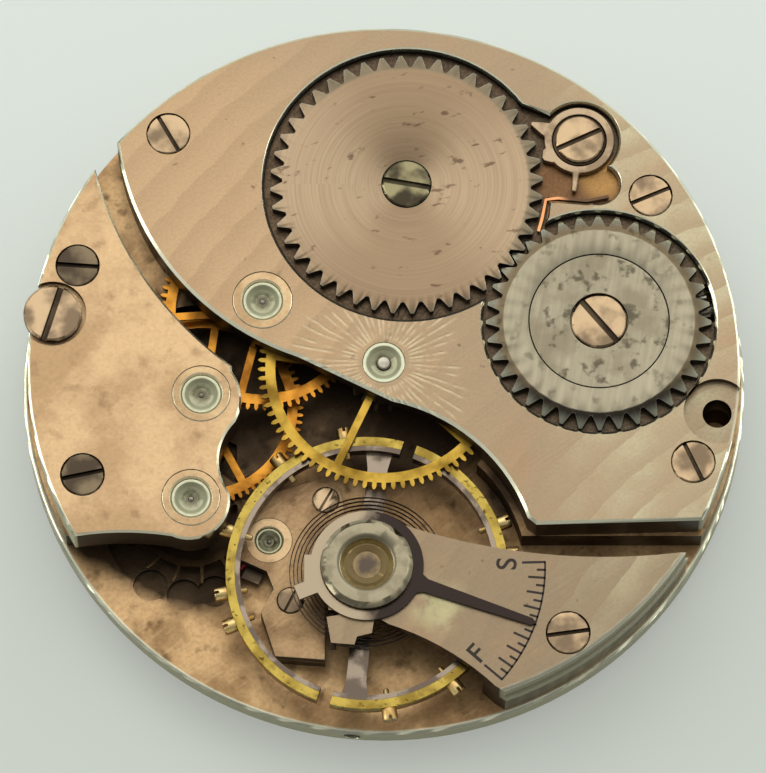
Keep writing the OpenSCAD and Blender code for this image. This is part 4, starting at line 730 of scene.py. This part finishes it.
def winding_wheel(node, body, centre, teeth, rings, drop, material):
    """A stout toothed wheel where a CAD node is: rings drawn out from its bore, and four of every
    six points of the last ring pulled out to a tooth, where the node has one. The tips drop."""
    low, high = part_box(node)
    tip, phase = teeth_of(node, centre, teeth)
    step = math.tau / teeth / POINTS_A_TOOTH
    bpy.ops.object.select_all(action="DESELECT")
    bpy.ops.mesh.primitive_circle_add(vertices=POINTS_A_TOOTH * teeth, radius=rings[0] * MM,
                                      rotation=(0, 0, phase + step / 2 - math.pi / 2))
    piece = bpy.context.active_object
    piece.name = "cut_" + node
    bpy.ops.object.transform_apply(location=False, rotation=True, scale=False)
    bpy.ops.object.mode_set(mode="EDIT")
    bpy.ops.mesh.select_all(action="SELECT")
    for inner, outer in zip(rings, rings[1:]):
        bpy.ops.mesh.extrude_region_move()
        growth = outer / inner
        bpy.ops.transform.resize(value=(growth, growth, 1), center_override=(0, 0, 0))
    root = rings[-1]
    flank = root + 0.45 * (tip - root)
    for places, reach, fall in (((1, 4), flank, 0.4 * drop), ((0, 5), tip, drop)):
        bpy.ops.mesh.select_mode(type="VERT")
        bpy.ops.mesh.select_all(action="DESELECT")
        bpy.ops.object.mode_set(mode="OBJECT")
        for point in piece.data.vertices:
            steps = (math.atan2(point.co.y, point.co.x) - phase) / step
            place = math.floor(steps) % POINTS_A_TOOTH
            point.select = abs(point.co.length / MM - root) < 0.01 and place in places
        bpy.ops.object.mode_set(mode="EDIT")
        growth = reach / root
        bpy.ops.transform.resize(value=(growth, growth, 1), center_override=(0, 0, 0))
        bpy.ops.transform.translate(value=(0, 0, -fall * MM))
    bpy.ops.mesh.select_all(action="SELECT")
    bpy.ops.mesh.extrude_region_move(TRANSFORM_OT_translate={"value": (0, 0, low.z - high.z)})
    bpy.ops.transform.resize(value=(1, 1, 0), center_override=(0, 0, low.z - high.z))
    bpy.ops.mesh.select_all(action="SELECT")
    bpy.ops.mesh.normals_make_consistent(inside=False)
    bpy.ops.object.mode_set(mode="OBJECT")
    piece.location = (centre[0] * MM, centre[1] * MM, high.z)
    bpy.ops.object.transform_apply(location=True, rotation=False, scale=False)
    eased(piece, 0.035, material)
    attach(piece, body)
    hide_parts(node)
    return piece


ratchet = winding_wheel("ratchet_wheel", "ratchet", BARREL, RATCHET_TEETH, RATCHET_RINGS, 0.0,
                        snailed_steel)

ground = Finish("ground_steel", Metallic=0.9)
around = ground.place(CROWN)
strokes = ground.noise(ground.place(turn=80, stretch=(6, 0.5, 1)), 1.6, 4.0)
patch = ground.ramp(ground.noise(around, 0.5, 5.0), 0.4, 0.62)
dirt = ground.ramp(ground.noise(around, 1.5, 6.0), 0.55, 0.7)
inner = 1 - ground.ramp(ground.radius(around), 3.78, 3.86)
colour = ground.blend(strokes, shade(134, 124, 104), shade(182, 170, 144))
colour = ground.blend(inner * patch * 0.6, colour, shade(126, 114, 92))
colour = ground.blend(dirt * (0.25 + 0.4 * inner), colour, shade(78, 70, 52))
# Painted shade: the teeth are darkened, less so to the south, and real dirt is laid over that.
south = ground.ramp(ground.part(around, 1), -4.6, -2.6)
toothed = ground.ramp(ground.radius(around) + 0.1 * strokes, 5.26, 5.34)
tooth_shade_and_dirt = ground.blend(south, shade(40, 32, 27), shade(116, 100, 76))
tooth_shade_and_dirt = ground.blend(dirt * 0.6, tooth_shade_and_dirt, shade(74, 60, 42))
colour = ground.blend(toothed * 0.95, colour, tooth_shade_and_dirt)
rough = 0.36 + 0.15 * dirt
# Walls are painted dark as shade and bevels pale as a highlight.
colour, rough = ground.painted_walls_and_bevel(colour, rough, shade(48, 42, 42), shade(188, 184, 164))
ground_steel = ground.finish(colour, rough, strokes, 0.006)
crown = winding_wheel("crown_wheel", "crown", CROWN, CROWN_TEETH, CROWN_RINGS, CROWN_DROP,
                      ground_steel)
dressed("crown_wheel_core", "plate", 0.03, ground_steel)

# Click: a flat steel ring that turns on its screw in a sunk recess, with two beaks and a tail,
# and a springy copper-coloured wire that presses on it.
click_steel = steel("rose_click_steel", shade(172, 148, 120), shade(144, 122, 98), 0.26)
dressed("click", "click", 0.07, click_steel)
wire = Finish("copper_wire", Metallic=1.0, Roughness=0.3)
copper = wire.blend(wire.noise(wire.place(), 1.2, 2.0), shade(244, 178, 124), shade(206, 130, 84))
bright_end = wire.disc((8.6, 8.2), 1.9, 0.3)
coat(wire.finish(wire.blend(bright_end, shade(96, 74, 56), copper)), "click_spring")


# Screws: turned steel with polished heads and filed slots. Most are drawn to a straw colour, and
# the train bridge's two and the ratchet's are dark.
def screws(node, body, bright, dull):
    """Dresses a node of screws; what lies under the heads' tops, slots too, is painted dark as shade.
    """
    made = Finish("finish_of_" + node, Metallic=1.0)
    where = made.place()
    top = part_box(node)[1].z / MM
    tone = made.ramp(made.noise(where, 0.55, 3.0), 0.4, 0.62)
    grain = made.noise(made.place(turn=70, stretch=(8, 0.5, 1)), 4.0, 2.0)
    sunk = 1 - made.ramp(made.part(where, 2), top - 0.2, top - 0.12)
    colour = made.blend(tone, bright, dull)
    # Painted shade below the heads' tops and in the slots.
    colour = made.blend(sunk * 0.9, colour, shade(38, 30, 24))
    polish = made.finish(colour, 0.24 + 0.12 * tone, grain, 0.004)
    dressed(node, body, 0.035, polish)


for node in ("barrel_bridge_screws", "balance_cock_screws", "pallet_bridge_screws", "case_screw",
             "crown_wheel_screw", "click_screw", "dial_foot_screws"):
    screws(node, "plate", shade(186, 158, 124), shade(128, 108, 86))
screws("train_bridge_screws", "plate", shade(120, 104, 82), shade(78, 66, 54))
screws("ratchet_screw", "ratchet", shade(140, 130, 98), shade(66, 59, 46))

# The table: a pale smooth board, painted a little darker on the near side as a painted falloff of the
# light. It shines faintly of its own, so that it stays as pale as it is in daylight.
TABLE_SIZE = 1.2
TABLE_GAP = 0.02
bpy.ops.object.select_all(action="DESELECT")
bpy.ops.mesh.primitive_plane_add(size=TABLE_SIZE, location=(0, 0, cad_low.z - TABLE_GAP * MM))
table = bpy.context.active_object
table.name = "table"
board = Finish("pale_table", Roughness=0.7)
uneven = board.part(board.place(), 1) + 6 * board.noise(board.place(), 0.05, 3.0)
# Painted light: the far side of the table is painted lighter.
lit_far_side = board.ramp(uneven, -16.0, 24.0)
paint = board.blend(lit_far_side, shade(206, 211, 200), shade(232, 238, 231))
table.data.materials.append(board.finish(paint))
seen = board.node("ShaderNodeLightPath", {}, {})
glow = board.node("ShaderNodeEmission", {}, {"Color": shade(250, 255, 248)})
sockets = {0: seen * 0.3, 1: Value(board, board.shader.outputs[0]), 2: glow}
lit = board.node("ShaderNodeMixShader", {}, sockets)
board.feed(board.tree.nodes["Material Output"].inputs[0], lit)


# The light: a big window behind and over the table, a pane at each side, and a room that is
# dim to the near side and brighter along the horizon, which the polished bevels reflect.
def window(name, spot, size, power, colour):
    """A soft rectangular light at a spot in millimetres, turned to the middle of the table."""
    bpy.ops.object.light_add(type="AREA", location=[s * MM for s in spot])
    lamp = bpy.context.active_object
    lamp.name = name
    lamp.data.shape = "RECTANGLE"
    lamp.data.size = size[0] * MM
    lamp.data.size_y = size[1] * MM
    lamp.data.energy = power
    lamp.data.color = colour
    lamp.rotation_mode = "QUATERNION"
    lamp.rotation_quaternion = (-Vector(spot)).to_track_quat("-Z", "Y")


window("window", (-20, 180, 340), (400, 300), 0.38, (1.0, 1.0, 0.98))
window("left_pane", (-420, 60, 90), (320, 130), 0.28, (0.96, 1.0, 0.95))
window("right_pane", (400, 120, 80), (320, 130), 0.2, (0.96, 1.0, 0.95))
world = bpy.data.worlds.new("room")
bpy.context.scene.world = world
world.use_nodes = True
room = world.node_tree
sky = room.nodes.new("ShaderNodeTexCoord")
direction = room.nodes.new("ShaderNodeSeparateXYZ")
room.links.new(sky.outputs["Generated"], direction.inputs[0])


def room_light(axis, start, end, dim, bright):
    """Light that goes from dim to bright as a direction's share of an axis goes from start to end."""
    made = room.nodes.new("ShaderNodeMapRange")
    spans = (("From Min", start), ("From Max", end), ("To Min", dim), ("To Max", bright))
    for key, value in spans:
        made.inputs[key].default_value = value
    room.links.new(direction.outputs[axis], made.inputs["Value"])
    return made.outputs[0]


strength = room.nodes.new("ShaderNodeMath")
room.links.new(room_light(1, -0.6, 0.1, 0.25, 0.65), strength.inputs[0])
room.links.new(room_light(2, 0.45, 0.1, 0.0, 0.55), strength.inputs[1])
room.links.new(strength.outputs[0], room.nodes["Background"].inputs["Strength"])
room.nodes["Background"].inputs["Color"].default_value = (0.95, 1.0, 0.97, 1)

# The camera: over the movement, tilted from the centre arbor towards the near side, with the same
# scale and the same middle as the photo.
TILT = math.radians(17.5)
DISTANCE = 400
SENSOR = 36
PICTURE_WIDTH = 766
PIXELS_A_MM = 18.04
bpy.ops.object.camera_add(rotation=(TILT, 0, 0))
camera = bpy.context.active_object
camera.data.sensor_fit = "HORIZONTAL"
camera.data.sensor_width = SENSOR
camera.data.lens = SENSOR * DISTANCE / (PICTURE_WIDTH / PIXELS_A_MM)
side = -0.8 / PIXELS_A_MM
rise = 7.2 / PIXELS_A_MM
camera.location = (
    side * MM,
    (-DISTANCE * math.sin(TILT) + rise * math.cos(TILT)) * MM,
    (DISTANCE * math.cos(TILT) + rise * math.sin(TILT)) * MM,
)
camera.data.clip_start = 0.01
bpy.context.scene.camera = camera
bpy.context.scene.view_settings.view_transform = "Standard"
